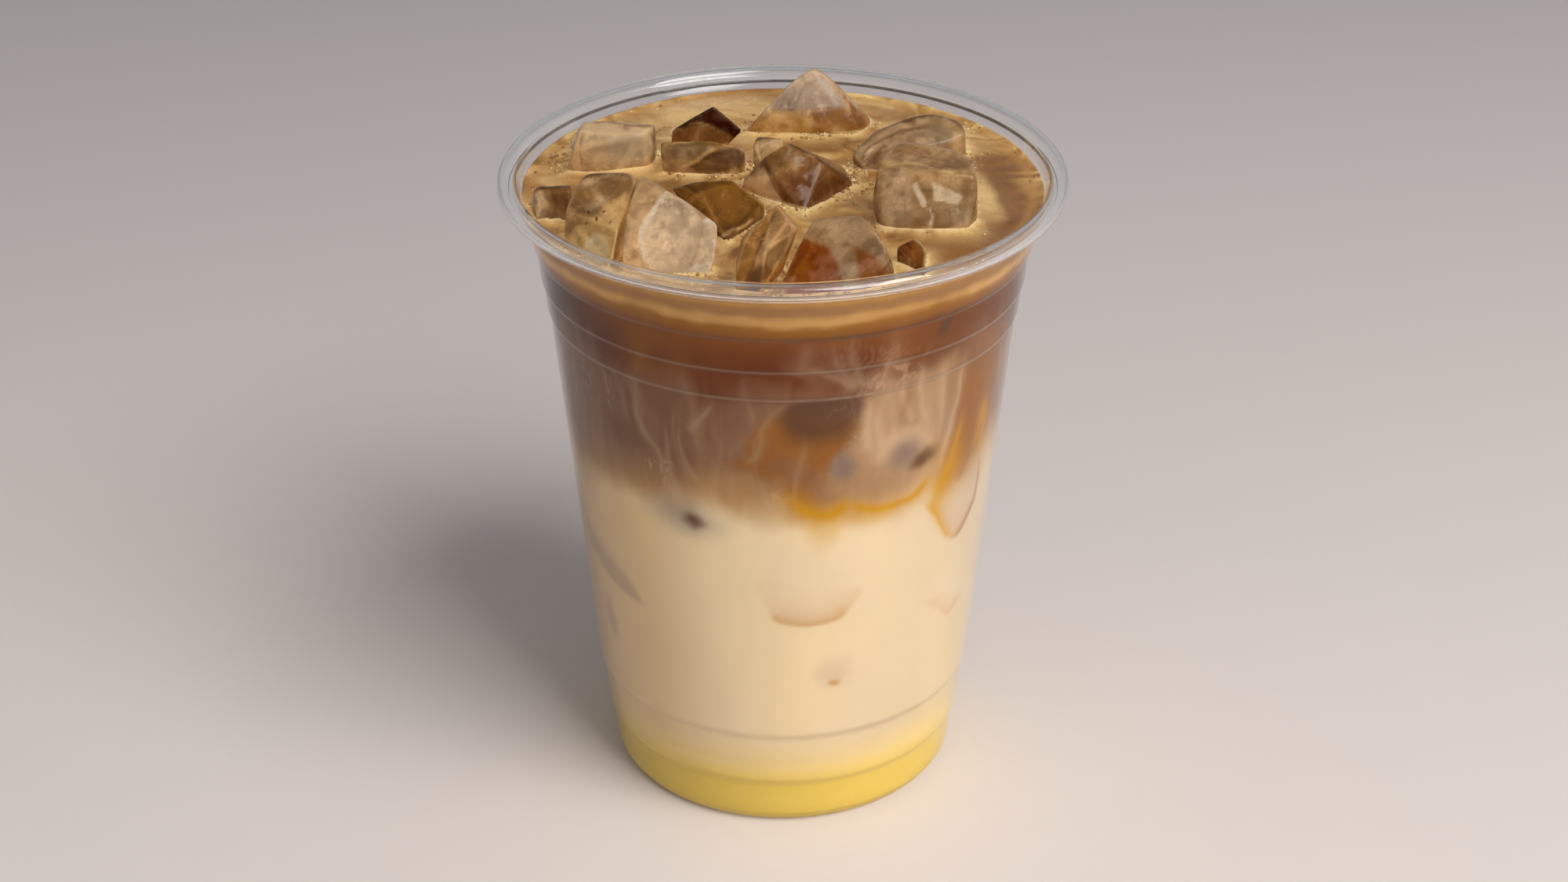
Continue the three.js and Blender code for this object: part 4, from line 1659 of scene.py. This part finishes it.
@dataclass
class Drink:
    """The drink: a lower body whose side is painted by height, and a top with foam round the ice."""

    tumbler: Tumbler
    blocks: list[Block]
    wall_paint: WallPaint = field(default_factory=WallPaint)
    top_paint: TopPaint = field(default_factory=TopPaint)
    deepest: float = 7.6
    into_wall: float = 0.42
    base_radius: float = 31.0
    row_by_border: float = 0.02
    top_foot: float = COFFEE_TOP - 0.05
    columns: int = 640
    top_cells: int = 290
    top_rows: int = 13
    ball_rows: int = 4
    ball_columns: int = 9

    @property
    def rim(self) -> float:
        """Radius of the top of the drink."""
        return float(self.tumbler.side_radius(self.into_wall, np.array([LEVEL]))[0])

    def build_layer(self, layer: Layer, material: Material) -> Piece:
        """Make one layer: its side between two heights, and a flat or raised floor and a flat top inside.

        Args:
            layer: which layer.
            material: the drink.

        Returns:
            The layer.
        """
        z = np.linspace(layer.low, layer.high, round((layer.high - layer.low) / layer.step) + 1)
        z = np.concatenate([z[:1], z[:1] + self.row_by_border, z[1:-1], z[-1:] - self.row_by_border, z[-1:]])
        loop = np.column_stack([self.tumbler.side_radius(self.into_wall, z), z])
        foot = layer.low
        if layer.stands:
            line = self.tumbler.inside_line(self.into_wall)
            base = line[(line[:, 0] < self.base_radius) & (line[:, 1] < layer.low)]
            loop = np.vstack([base[1:], loop])
            foot = line[0, 1]
        corners, quads, ends = closed_shell(loop, self.columns, foot, layer.high)
        made = new_object("drink_" + layer.node, corners, quads, ends)
        paint(made, self.wall_paint.colour(corners))
        made.data.materials.append(material)
        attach(made, "root")
        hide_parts(layer.node)
        return made

    def under_ice(self, flat: Array) -> tuple[Array, Array]:
        """Find the ice about places at the level, and the underside of each block by halving.

        Args:
            flat: places at the level, in millimetres.

        Returns:
            About how far each place is from the ice, under 0 within it, and the height of its underside.
        """
        near = np.full(len(flat), 30.0)
        under = np.full(len(flat), 1e3)
        for block in self.blocks:
            close = np.nonzero(np.abs(flat[:, :2] - block.middle[:2]).max(axis=1) < 22.0)[0]
            at = flat[close]
            share = block.reach(at)
            away = (share - 1.0) / share * np.linalg.norm(at - block.middle, axis=1)
            near[close] = np.minimum(near[close], away)
            within = close[share < 1.0]
            low = flat[within] - np.array([0.0, 0.0, self.deepest + 2.6])
            high = flat[within].copy()
            for _ in range(12):
                mid = (low + high) / 2.0
                inside = (block.reach(mid) < 0.985)[:, None]
                high = np.where(inside, mid, high)
                low = np.where(inside, low, mid)
            under[within] = np.minimum(under[within], high[:, 2])
        return near, under

    def surface(self, x: Array, y: Array) -> tuple[Array, Array]:
        """Work out the height of the drink's top and the distance to the ice.

        Away from the ice it is the level with soft swells and froth, and it climbs a little at the ice
        and the wall. Within a block it is the block's underside.

        Args:
            x: places across, in millimetres.
            y: places along.

        Returns:
            The heights, and about how far each place is from the ice, under 0 within it.
        """
        flat = np.column_stack([x, y, np.full(len(x), LEVEL)])
        near, under = self.under_ice(flat)
        swell = clouds(flat / np.array([9.0, 9.0, 1e3]), 3, 41) - 0.5
        froth = clouds(flat / np.array([1.9, 1.9, 1e3]), 2, 43) - 0.5
        wet = 0.6 * fade(near, 0.8) + 0.45 * fade(self.rim - np.hypot(x, y), 0.9)
        lumps = 0.05 + 0.3 * fade(near, 2.0)
        z = LEVEL - 0.3 + 0.5 * swell + lumps * froth + wet
        pocket = np.minimum(z, np.maximum(under, LEVEL - self.deepest))
        return np.where(under < LEVEL, pocket, z), near

    def build_top(self, side_look: Material, top_look: Material) -> Piece:
        """Make the top: a disc of rings with pockets for the ice, the side below it, and its floor.

        Args:
            side_look: the drink seen through the wall.
            top_look: the foam.

        Returns:
            The top.
        """
        n, m = self.top_cells, self.top_cells + 1
        x, y = (place * self.rim for place in disc_of_rings(n))
        z, near = self.surface(x, y)
        top, quads = np.column_stack([x, y, z]), grid_quads(n)
        k = np.arange(n)
        border = np.concatenate([k * m, n * m + k, (n - k) * m + n, n - k])
        heights = np.linspace(LEVEL, self.top_foot, self.top_rows + 1)[1:]
        grow = self.tumbler.side_radius(self.into_wall, heights) / self.rim
        across, along = grow[:, None] * x[border], grow[:, None] * y[border]
        down = np.broadcast_to(heights[:, None], across.shape)
        side = np.stack([across, along, down], axis=-1).reshape(-1, 3)
        rows = np.vstack([border[None, :], len(top) + np.arange(len(side)).reshape(-1, len(border))])
        on = np.roll(rows, -1, axis=1)
        sides = np.stack([rows[1:], on[1:], on[:-1], rows[:-1]], axis=-1).reshape(-1, 4)
        corners = np.vstack([top, side, [[0.0, 0.0, self.top_foot]]])
        close = np.stack([np.full_like(border, len(corners) - 1), on[-1], rows[-1]], axis=1)
        made = new_object("drink_top", corners, np.vstack([quads, sides]), close)
        foam = self.top_paint.colour(x, y, LEVEL - z, near, self.rim - np.hypot(x, y))
        paint(made, np.vstack([foam, self.wall_paint.colour(corners[len(top):])]))
        made.data.materials.append(top_look)
        made.data.materials.append(side_look)
        looks = np.ones(len(made.data.polygons), np.int32)
        looks[: len(quads)] = 0
        made.data.polygons.foreach_set("material_index", looks)
        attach(made, "root")
        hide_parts("crema")
        return made

    def build_bubbles(self, kind: Bubbles) -> Piece:
        """Scatter small bubbles in the foam, thickest by the ice and in clusters.

        Each is a ball of a few rings, half sunk in the foam.

        Args:
            kind: which bubbles.

        Returns:
            The bubbles as one piece.
        """
        rng = np.random.default_rng(len(kind.name) + kind.count)
        r = self.rim * np.sqrt(rng.uniform(0.0, 1.0, kind.count)) * 0.985
        a = rng.uniform(0.0, 2.0 * math.pi, kind.count)
        x, y = r * np.cos(a), r * np.sin(a)
        z, near = self.surface(x, y)
        least, greatest = kind.sizes
        size = least + (greatest - least) * rng.uniform(0.0, 1.0, kind.count) ** 2.2
        cluster = smooth(0.42, 0.72, clouds(np.column_stack([x, y, np.zeros_like(x)]) / 4.5, 3, 90))
        chance = cluster * (fade(near, kind.spread) + 0.5 * fade(self.rim - r, 0.8))
        keep = (rng.uniform(0.0, 1.0, kind.count) < chance) & (near > 0.25 * size) & (z > LEVEL - 1.2)
        at, size = np.column_stack([x, y, z + 0.1 * size])[keep], size[keep]
        rise = np.linspace(-0.5 * math.pi, 0.5 * math.pi, self.ball_rows + 2)[1:-1]
        line = np.column_stack([np.cos(rise), np.sin(rise)])
        ball, quads, ends = closed_shell(line, self.ball_columns, -1.0, 1.0)
        corners = at[:, None] + ball[None] * size[:, None, None] * np.array([1.0, 1.0, 0.8])
        step = np.arange(len(at))[:, None, None] * len(ball)
        quads, ends = (quads + step).reshape(-1, 4), (ends + step).reshape(-1, 3)
        made = new_object(kind.name, corners.reshape(-1, 3), quads, ends)
        made.data.materials.append(kind.finish.build())
        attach(made, "root")
        return made


# the studio


@dataclass(frozen=True)
class Lamp:
    """A soft light that faces the drink: its name, place and size in millimetres, watts and colour."""

    name: str
    place: tuple[float, float, float]
    size: Pair
    power: float
    colour: Colour
    aim_height: float = 60.0

    def build(self) -> None:
        """Hang the lamp and turn it to the middle of the drink."""
        data = bpy.data.lights.new(self.name, "AREA")
        data.shape, data.size, data.size_y = "RECTANGLE", self.size[0] * MM, self.size[1] * MM
        data.energy, data.color = self.power, self.colour
        made = bpy.data.objects.new(self.name, data)
        made.location = tuple(v * MM for v in self.place)
        x, y, z = np.array([0.0, 0.0, self.aim_height]) - np.array(self.place)
        made.rotation_euler = (math.atan2(math.hypot(x, y), -z), 0.0, math.atan2(y, x) - math.pi / 2)
        bpy.context.scene.collection.objects.link(made)


@dataclass
class Studio:
    """The table, the camera and the soft lights."""

    table_half: float = 1600.0
    lens: float = 63.37
    sensor: float = 36.0
    side_step: float = 0.18
    room_low: Colour = (0.43, 0.425, 0.43, 1.0)
    room_high: Colour = (0.13, 0.13, 0.135, 1.0)
    lamps: tuple[Lamp, ...] = (
        Lamp("key", (640.0, -663.0, 1210.0), (850.0, 850.0), 17.0, (1.0, 0.975, 0.955)),
        Lamp("side_panel", (680.0, -730.0, 385.0), (1150.0, 100.0), 1.7, (1.0, 0.98, 0.96)),
        Lamp("fill", (-1037.0, -1037.0, 372.0), (850.0, 850.0), 1.1, (1.0, 0.985, 0.97)),
    )

    def build(self) -> None:
        """Set up the table, the camera, the lights and the room's light."""
        grid = self.table_half * np.array([[-1, -1, 0], [1, -1, 0], [1, 1, 0], [-1, 1, 0]])
        floor = new_object("table", grid, np.array([[0, 1, 2, 3]]))
        floor.data.materials.append(FloorFinish().build())
        self.build_camera()
        for lamp in self.lamps:
            lamp.build()
        self.light_room()
        bpy.context.scene.view_settings.view_transform = "Standard"

    def build_camera(self) -> None:
        """Set the camera at the viewer's distance, above the table, looking down at the drink."""
        data = bpy.data.cameras.new("viewer")
        data.lens, data.sensor_width, data.sensor_fit = self.lens, self.sensor, "HORIZONTAL"
        data.clip_start, data.clip_end = 0.01, 50.0
        camera = bpy.data.objects.new("viewer", data)
        _, y, z = DISTANCE * TO_VIEWER
        camera.location = (self.side_step * MM, y * MM, (AIM_HEIGHT + z) * MM)
        camera.rotation_euler = (math.pi / 2 - math.radians(SLOPE), 0.0, 0.0)
        bpy.context.scene.collection.objects.link(camera)
        bpy.context.scene.camera = camera

    def light_room(self) -> None:
        """Light the room evenly, brighter by the table than overhead."""
        world = bpy.data.worlds.new("room")
        world.use_nodes = True
        tree = world.node_tree
        where = tree.nodes.new("ShaderNodeTexCoord")
        parts = tree.nodes.new("ShaderNodeSeparateXYZ")
        fade_up = tree.nodes.new("ShaderNodeValToRGB")
        fade_up.color_ramp.elements[0].color = self.room_low
        fade_up.color_ramp.elements[1].color = self.room_high
        tree.links.new(where.outputs["Generated"], parts.inputs["Vector"])
        tree.links.new(parts.outputs["Z"], fade_up.inputs["Fac"])
        tree.links.new(fade_up.outputs["Color"], tree.nodes["Background"].inputs["Color"])
        bpy.context.scene.world = world


ICE_LOOKS: dict[str, IceLook] = {
    "ice_back_left": IceLook((238, 204, 156), (216, 176, 120), 1.0, (
        Mark(((742, 170), (770, 166), (826, 170), (830, 204), (790, 214), (745, 210)), (228, 200, 156), 0.6,
            7),
        Mark(((775, 176), (800, 172), (822, 178), (824, 198), (800, 208), (780, 204)), (242, 222, 184), 0.6,
            6),
        Mark(((783, 170), (777, 190), (784, 210)), (236, 214, 180), 0.7, width=1.6),
        Mark(((806, 168), (813, 188), (804, 206)), (236, 214, 180), 0.7, width=1.6),
        Mark(((760, 166), (764, 184), (756, 206)), (232, 208, 172), 0.5, width=1.4),
        Mark(((733, 163), (726, 190), (732, 214)), (226, 200, 158), 0.8, width=4),
        Mark(((744, 164), (739, 190), (744, 214)), (150, 114, 72), 0.6, width=1.8),
        Mark(((733, 158), (760, 154), (800, 160), (835, 161), (852, 172)), (122, 86, 50), 0.85, width=3.2),
        Mark(((826, 166), (834, 184), (828, 206)), (146, 110, 68), 0.6, width=2),
        Mark(((836, 170), (843, 186), (838, 206)), (220, 192, 150), 0.6, width=2),
    )),
    "ice_back_peak": IceLook((76, 26, 6), (158, 96, 42), 2.0, (
        Mark(((848, 172), (880, 161), (905, 159), (940, 178), (946, 188), (828, 188)), (178, 118, 60), 0.85,
            4),
        Mark(((856, 170), (884, 158), (908, 160)), (206, 156, 92), 0.7, width=1.6),
        Mark(((868, 165), (892, 145), (908, 134)), (58, 20, 8), 0.8, width=3),
    )),
    "ice_back_slab": IceLook((156, 114, 60), (156, 112, 56), 1.0, (
        Mark(((842, 192), (852, 184), (885, 183), (905, 190), (880, 215), (850, 216)), (142, 112, 76), 0.85,
            3),
        Mark(((880, 212), (905, 192), (945, 190), (953, 200), (945, 216), (885, 219)), (104, 68, 38), 0.9, 3),
        Mark(((840, 214), (838, 196), (850, 184), (885, 181)), (196, 154, 98), 0.75, width=1.5),
        Mark(((900, 189), (930, 186), (950, 192), (956, 206)), (180, 138, 86), 0.7, width=1.5),
        Mark(((866, 217), (890, 200), (916, 187)), (206, 160, 98), 0.8, width=1.8),
        Mark(((876, 214), (900, 200), (930, 194)), (84, 52, 26), 0.7, width=2),
        Mark(((833, 181), (870, 176), (930, 180), (956, 190)), (88, 56, 26), 0.9, width=2.6),
        Mark(((838, 220), (880, 225), (948, 221)), (236, 198, 134), 0.9, width=2.6),
    )),
    "ice_tall_peak": IceLook((200, 174, 146), (196, 146, 72), 2.6, (
        Mark(((958, 150), (985, 141), (1040, 143), (1046, 175), (946, 175)), (190, 148, 82), 0.85, 6),
        Mark(((1036, 144), (1085, 134), (1118, 168), (1108, 176), (1036, 176)), (146, 94, 38), 0.9, 6),
        Mark(((1046, 150), (1072, 144), (1082, 162), (1060, 172), (1046, 168)), (182, 136, 74), 0.6, 5),
        # painted highlight beside the ridge
        Mark(((1040, 100), (1056, 114), (1068, 136)), (236, 220, 204), 0.75, width=4),
        Mark(((1030, 106), (1040, 122), (1046, 138)), (214, 194, 174), 0.6, width=2.4),
        Mark(((1040, 87), (1060, 100), (1085, 135), (1112, 162)), (158, 104, 50), 0.85, width=3.6),
        Mark(((1022, 90), (1040, 84), (1056, 96)), (150, 104, 62), 0.7, width=3),
        Mark(((985, 138), (1008, 114), (1026, 98), (1030, 118), (1016, 138)), (200, 176, 152), 0.5, 5),
        Mark(((952, 168), (1000, 172), (1060, 171), (1110, 166)), (238, 202, 140), 0.9, width=2.2),
    )),
    "ice_back_right": IceLook((162, 130, 92), (150, 112, 70), 1.6, (
        Mark(((1205, 160), (1228, 150), (1236, 175), (1234, 198), (1212, 194)), (196, 160, 110), 0.7, 5),
        Mark(((1150, 160), (1205, 156), (1212, 184), (1160, 184)), (166, 140, 106), 0.6, 6),
        Mark(((1090, 194), (1104, 168), (1150, 154), (1190, 145), (1225, 156)), (84, 58, 34), 0.9, width=2.8),
        Mark(((1096, 206), (1114, 184), (1150, 168), (1186, 160)), (98, 70, 44), 0.7, width=2.2),
        Mark(((1112, 210), (1118, 196), (1130, 184)), (92, 64, 38), 0.7, width=3),
        # painted highlight at the lower left
        Mark(((1100, 213), (1105, 198), (1114, 188)), (216, 190, 152), 0.7, width=1.8),
        Mark(((1122, 206), (1128, 194)), (206, 178, 136), 0.6, width=1.6),
        Mark(((1150, 172), (1180, 167), (1208, 176)), (190, 164, 128), 0.6, width=2),
        Mark(((1196, 146), (1216, 154), (1230, 168), (1234, 190)), (120, 86, 50), 0.7, width=2),
    )),
    "ice_big_right": IceLook((160, 122, 76), (162, 122, 70), 1.0, (
        Mark(((1140, 184), (1170, 178), (1225, 190), (1242, 205), (1238, 222), (1160, 208), (1130, 205)),
            (160, 124, 82), 0.7, 4),
        Mark(((1113, 225), (1150, 214), (1166, 235), (1160, 286), (1135, 291), (1112, 270)), (170, 144, 110),
            0.75, 6),
        Mark(((1165, 234), (1246, 240), (1248, 280), (1225, 294), (1165, 290)), (140, 106, 66), 0.8, 6),
        Mark(((1128, 212), (1160, 208), (1200, 218), (1242, 226)), (204, 166, 108), 0.85, width=1.8),
        Mark(((1146, 196), (1180, 200), (1214, 208)), (128, 92, 54), 0.5, width=2.4),
        Mark(((1104, 264), (1109, 235), (1126, 205), (1138, 186)), (180, 130, 66), 0.85, width=4),
        Mark(((1110, 272), (1114, 240), (1130, 212)), (112, 78, 42), 0.6, width=1.8),
        # the next two marks are painted highlights on the front face
        Mark(((1162, 236), (1168, 232), (1184, 262), (1178, 266), (1168, 250)), (226, 206, 174), 0.95, 1.4),
        Mark(((1189, 233), (1228, 251), (1223, 262), (1192, 257)), (214, 192, 158), 0.92, 1.6),
        Mark(((1186, 262), (1188, 276), (1184, 290)), (226, 208, 178), 0.7, width=1.4),
        Mark(((1180, 260), (1188, 266), (1190, 272)), (92, 58, 28), 0.8, width=1.4),
        Mark(((1150, 240), (1156, 262), (1152, 284)), (124, 92, 58), 0.4, width=2),
        Mark(((1148, 293), (1190, 294), (1232, 292)), (226, 192, 136), 0.85, width=2.6),
        Mark(((1212, 268), (1242, 268), (1240, 288), (1216, 290)), (172, 146, 110), 0.6, 4),
        Mark(((1140, 183), (1170, 178), (1205, 184), (1240, 202)), (104, 74, 42), 0.6, width=1.8),
    )),
    "ice_centre": IceLook((140, 94, 48), (116, 70, 28), 1.6, (
        Mark(((985, 190), (1005, 182), (1032, 196), (1012, 216), (984, 222)), (158, 116, 66), 0.7, 6),
        Mark(((1006, 222), (1088, 226), (1084, 252), (1050, 270), (1008, 262)), (106, 62, 30), 0.85, 9),
        Mark(((1030, 204), (1060, 216), (1050, 234), (1024, 226)), (136, 96, 64), 0.6, 7),
        Mark(((943, 232), (972, 212), (990, 240), (996, 254), (965, 248)), (226, 184, 132), 0.9, 4),
        Mark(((974, 207), (985, 235), (999, 254)), (96, 60, 30), 0.6, width=1.6),
        Mark(((1000, 181), (1030, 194), (1060, 214), (1090, 235)), (86, 52, 24), 0.85, width=2.2),
        Mark(((944, 238), (966, 250), (996, 258), (1020, 266), (1048, 272)), (232, 198, 146), 0.9, width=2),
    )),
    "ice_centre_small": IceLook((192, 156, 106), (152, 110, 64), 1.0, (
        Mark(((965, 185), (990, 182), (990, 206), (965, 208)), (204, 170, 120), 0.6, 4),
        Mark(((959, 190), (962, 180), (976, 173), (1000, 178)), (104, 70, 38), 0.9, width=2.4),
        Mark(((966, 196), (972, 184), (986, 180)), (226, 196, 150), 0.7, width=1.4),
    )),
    "ice_centre_left": IceLook((132, 86, 26), (112, 70, 20), 1.0, (
        Mark(((852, 232), (900, 230), (892, 247), (860, 246)), (92, 58, 20), 0.75, 6),
        Mark(((895, 246), (940, 240), (952, 270), (920, 292), (900, 272)), (148, 98, 38), 0.75, 10),
        Mark(((880, 258), (896, 274), (906, 296)), (84, 52, 20), 0.6, width=3.5),
        Mark(((935, 231), (955, 247), (976, 262)), (188, 142, 72), 0.85, width=2),
        Mark(((913, 303), (945, 290), (960, 278)), (206, 168, 108), 0.8, width=1.8),
        Mark(((918, 296), (942, 284), (956, 270)), (92, 60, 26), 0.6, width=2),
        Mark(((855, 230), (880, 228), (925, 230)), (72, 44, 16), 0.8, width=2.4),
        Mark(((862, 236), (882, 246), (898, 262)), (166, 122, 64), 0.5, width=1.6),
    )),
    "ice_left_foamy": IceLook((150, 110, 62), (214, 168, 94), 1.4, (
        Mark(((713, 335), (720, 306), (742, 286), (770, 268), (796, 246), (806, 262), (796, 335), (745, 345)),
            (220, 176, 108), 0.9, 6),
        Mark(((752, 330), (746, 312), (756, 298), (770, 300), (776, 322), (766, 340)), (238, 208, 154), 0.75,
            3.5),
        Mark(((758, 300), (748, 316), (756, 336)), (250, 230, 190), 0.7, width=1.6),
        Mark(((744, 262), (760, 252), (782, 248), (770, 262), (750, 274)), (186, 154, 112), 0.7, 5),
        Mark(((740, 229), (755, 222), (790, 222), (808, 229)), (92, 60, 30), 0.85, width=2.8),
        Mark(((719, 292), (726, 255), (738, 230)), (188, 148, 98), 0.7, width=2),
        Mark(((750, 271), (753, 272)), (80, 48, 20), 0.95, width=2.8),
        Mark(((759, 279), (762, 281)), (80, 48, 20), 0.95, width=2.8),
        Mark(((770, 270), (773, 272)), (84, 52, 22), 0.9, width=2.5),
        Mark(((746, 284), (748, 286)), (84, 52, 22), 0.9, width=2.5),
        Mark(((776, 282), (778, 284)), (84, 52, 22), 0.85, width=2.3),
    )),
    "ice_front_left": IceLook((186, 150, 106), (188, 148, 96), 1.0, (
        Mark(((745, 330), (785, 345), (830, 364), (830, 342), (780, 325)), (206, 166, 108), 0.7, 5),
        Mark(((857, 243), (880, 260), (893, 280), (913, 284), (916, 300), (908, 348), (895, 366), (835, 356),
            (822, 325), (820, 300), (832, 272)), (204, 178, 144), 0.9, 2),
        Mark(((878, 340), (905, 335), (900, 360), (880, 354)), (230, 212, 184), 0.75, 3),
        Mark(((857, 243), (838, 262), (824, 288), (820, 310), (825, 336)), (242, 228, 204), 1.0, width=2.6),
        Mark(((852, 246), (834, 264), (819, 290), (816, 312)), (222, 200, 168), 0.7, width=1.3),
        Mark(((893, 280), (912, 284), (915, 305), (906, 352)), (242, 228, 204), 0.95, width=2.4),
        Mark(((893, 282), (890, 310), (880, 340)), (168, 138, 104), 0.6, width=1.8),
        Mark(((812, 230), (794, 268), (789, 312)), (214, 184, 142), 0.7, width=1.6),
        Mark(((857, 243), (866, 262), (872, 290)), (178, 150, 116), 0.5, width=2.4),
        Mark(((840, 348), (856, 356), (876, 360)), (152, 112, 66), 0.6, width=3),
    )),
    "ice_far_left": IceLook((124, 84, 40), (126, 82, 34), 1.0, (
        Mark(((676, 250), (690, 243), (700, 262), (692, 284), (678, 277)), (176, 142, 100), 0.8, 3),
        Mark(((684, 252), (690, 264), (686, 278)), (222, 192, 148), 0.7, width=1.5),
        Mark(((675, 287), (705, 284), (735, 290), (722, 302), (680, 298)), (184, 136, 64), 0.8, 4),
        Mark(((680, 242), (705, 236), (736, 236)), (84, 52, 22), 0.85, width=2.4),
        Mark(((704, 244), (708, 262), (706, 282)), (86, 54, 24), 0.6, width=2.4),
    )),
    "ice_front_peak": IceLook((206, 142, 56), (176, 108, 36), 1.6, (
        Mark(((985, 260), (1014, 285), (1011, 305), (985, 347), (955, 376), (965, 332), (978, 295)),
            (176, 136, 88), 0.85, 4),
        Mark(((950, 347), (975, 336), (986, 345), (966, 376), (944, 372)), (114, 72, 36), 0.8, 4),
        Mark(((985, 261), (965, 285), (945, 320), (935, 354)), (228, 182, 112), 0.85, width=1.8),
        Mark(((990, 266), (976, 296), (962, 330), (952, 352)), (104, 62, 22), 0.7, width=2.6),
        Mark(((1010, 284), (1004, 312), (984, 344)), (222, 186, 132), 0.6, width=1.5),
    )),
    "ice_front_big": IceLook((146, 112, 76), (116, 60, 6), 1.4, (
        Mark(((1060, 328), (1095, 333), (1114, 374), (1080, 382)), (152, 120, 92), 0.6, 4),
        Mark(((984, 330), (1006, 298), (1026, 302), (1056, 316), (1072, 345), (1078, 390), (976, 390)),
            (122, 56, 0), 1.0, 4),
        Mark(((1010, 330), (1030, 326), (1040, 350), (1036, 380), (1012, 380)), (140, 74, 6), 0.5, 7),
        Mark(((1090, 314), (1115, 326), (1144, 364), (1130, 382), (1100, 382)), (128, 68, 6), 0.95, 4),
        # painted highlight at the lower left
        Mark(((984, 384), (988, 352), (994, 345), (1001, 368), (1001, 384)), (160, 130, 100), 0.85, 2),
        Mark(((1010, 292), (1030, 278), (1090, 276), (1106, 286)), (172, 136, 94), 0.6, width=2.2),
        Mark(((1106, 286), (1126, 310), (1146, 352)), (168, 126, 78), 0.75, width=3.6),
        Mark(((1000, 308), (1016, 300), (1040, 306)), (196, 148, 86), 0.6, width=2),
        Mark(((1072, 350), (1088, 366), (1096, 380)), (198, 168, 136), 0.6, width=2),
    )),
    "ice_small_right": IceLook((128, 74, 26), (110, 60, 17), 1.0, (
        Mark(((1164, 303), (1178, 318), (1178, 342)), (206, 178, 124), 0.8, width=1.8),
        Mark(((1140, 318), (1152, 308), (1162, 318)), (72, 38, 12), 0.6, width=2.4),
    )),
}


def main() -> None:
    """Build the drink piece by piece and report each one."""
    logging.basicConfig(level=logging.INFO, format="%(name)s: %(message)s")
    tumbler = Tumbler()
    lip = ClearPlastic("lip_plastic", refraction=1.46, roughness=0.0, clear=0.985, gloss=1.0)
    made = [tumbler.build(ClearPlastic(), lip)]
    blocks = [Block(node, look, 100 + 7 * i) for i, (node, look) in enumerate(ICE_LOOKS.items())]
    drink = Drink(tumbler, blocks)
    side, foam, wet = SideFinish().build(), FoamFinish().build(), IceFinish().build()
    made += [drink.build_layer(layer, side) for layer in LAYERS]
    made.append(drink.build_top(side, foam))
    made += [block.build(wet) for block in blocks]
    made += [drink.build_bubbles(kind) for kind in BUBBLES]
    Studio().build()
    for piece in made:
        triangles = sum(len(face.vertices) - 2 for face in piece.data.polygons)
        LOG.info("%s: %d triangles", piece.name, triangles)


if __name__ == "__main__":
    main()
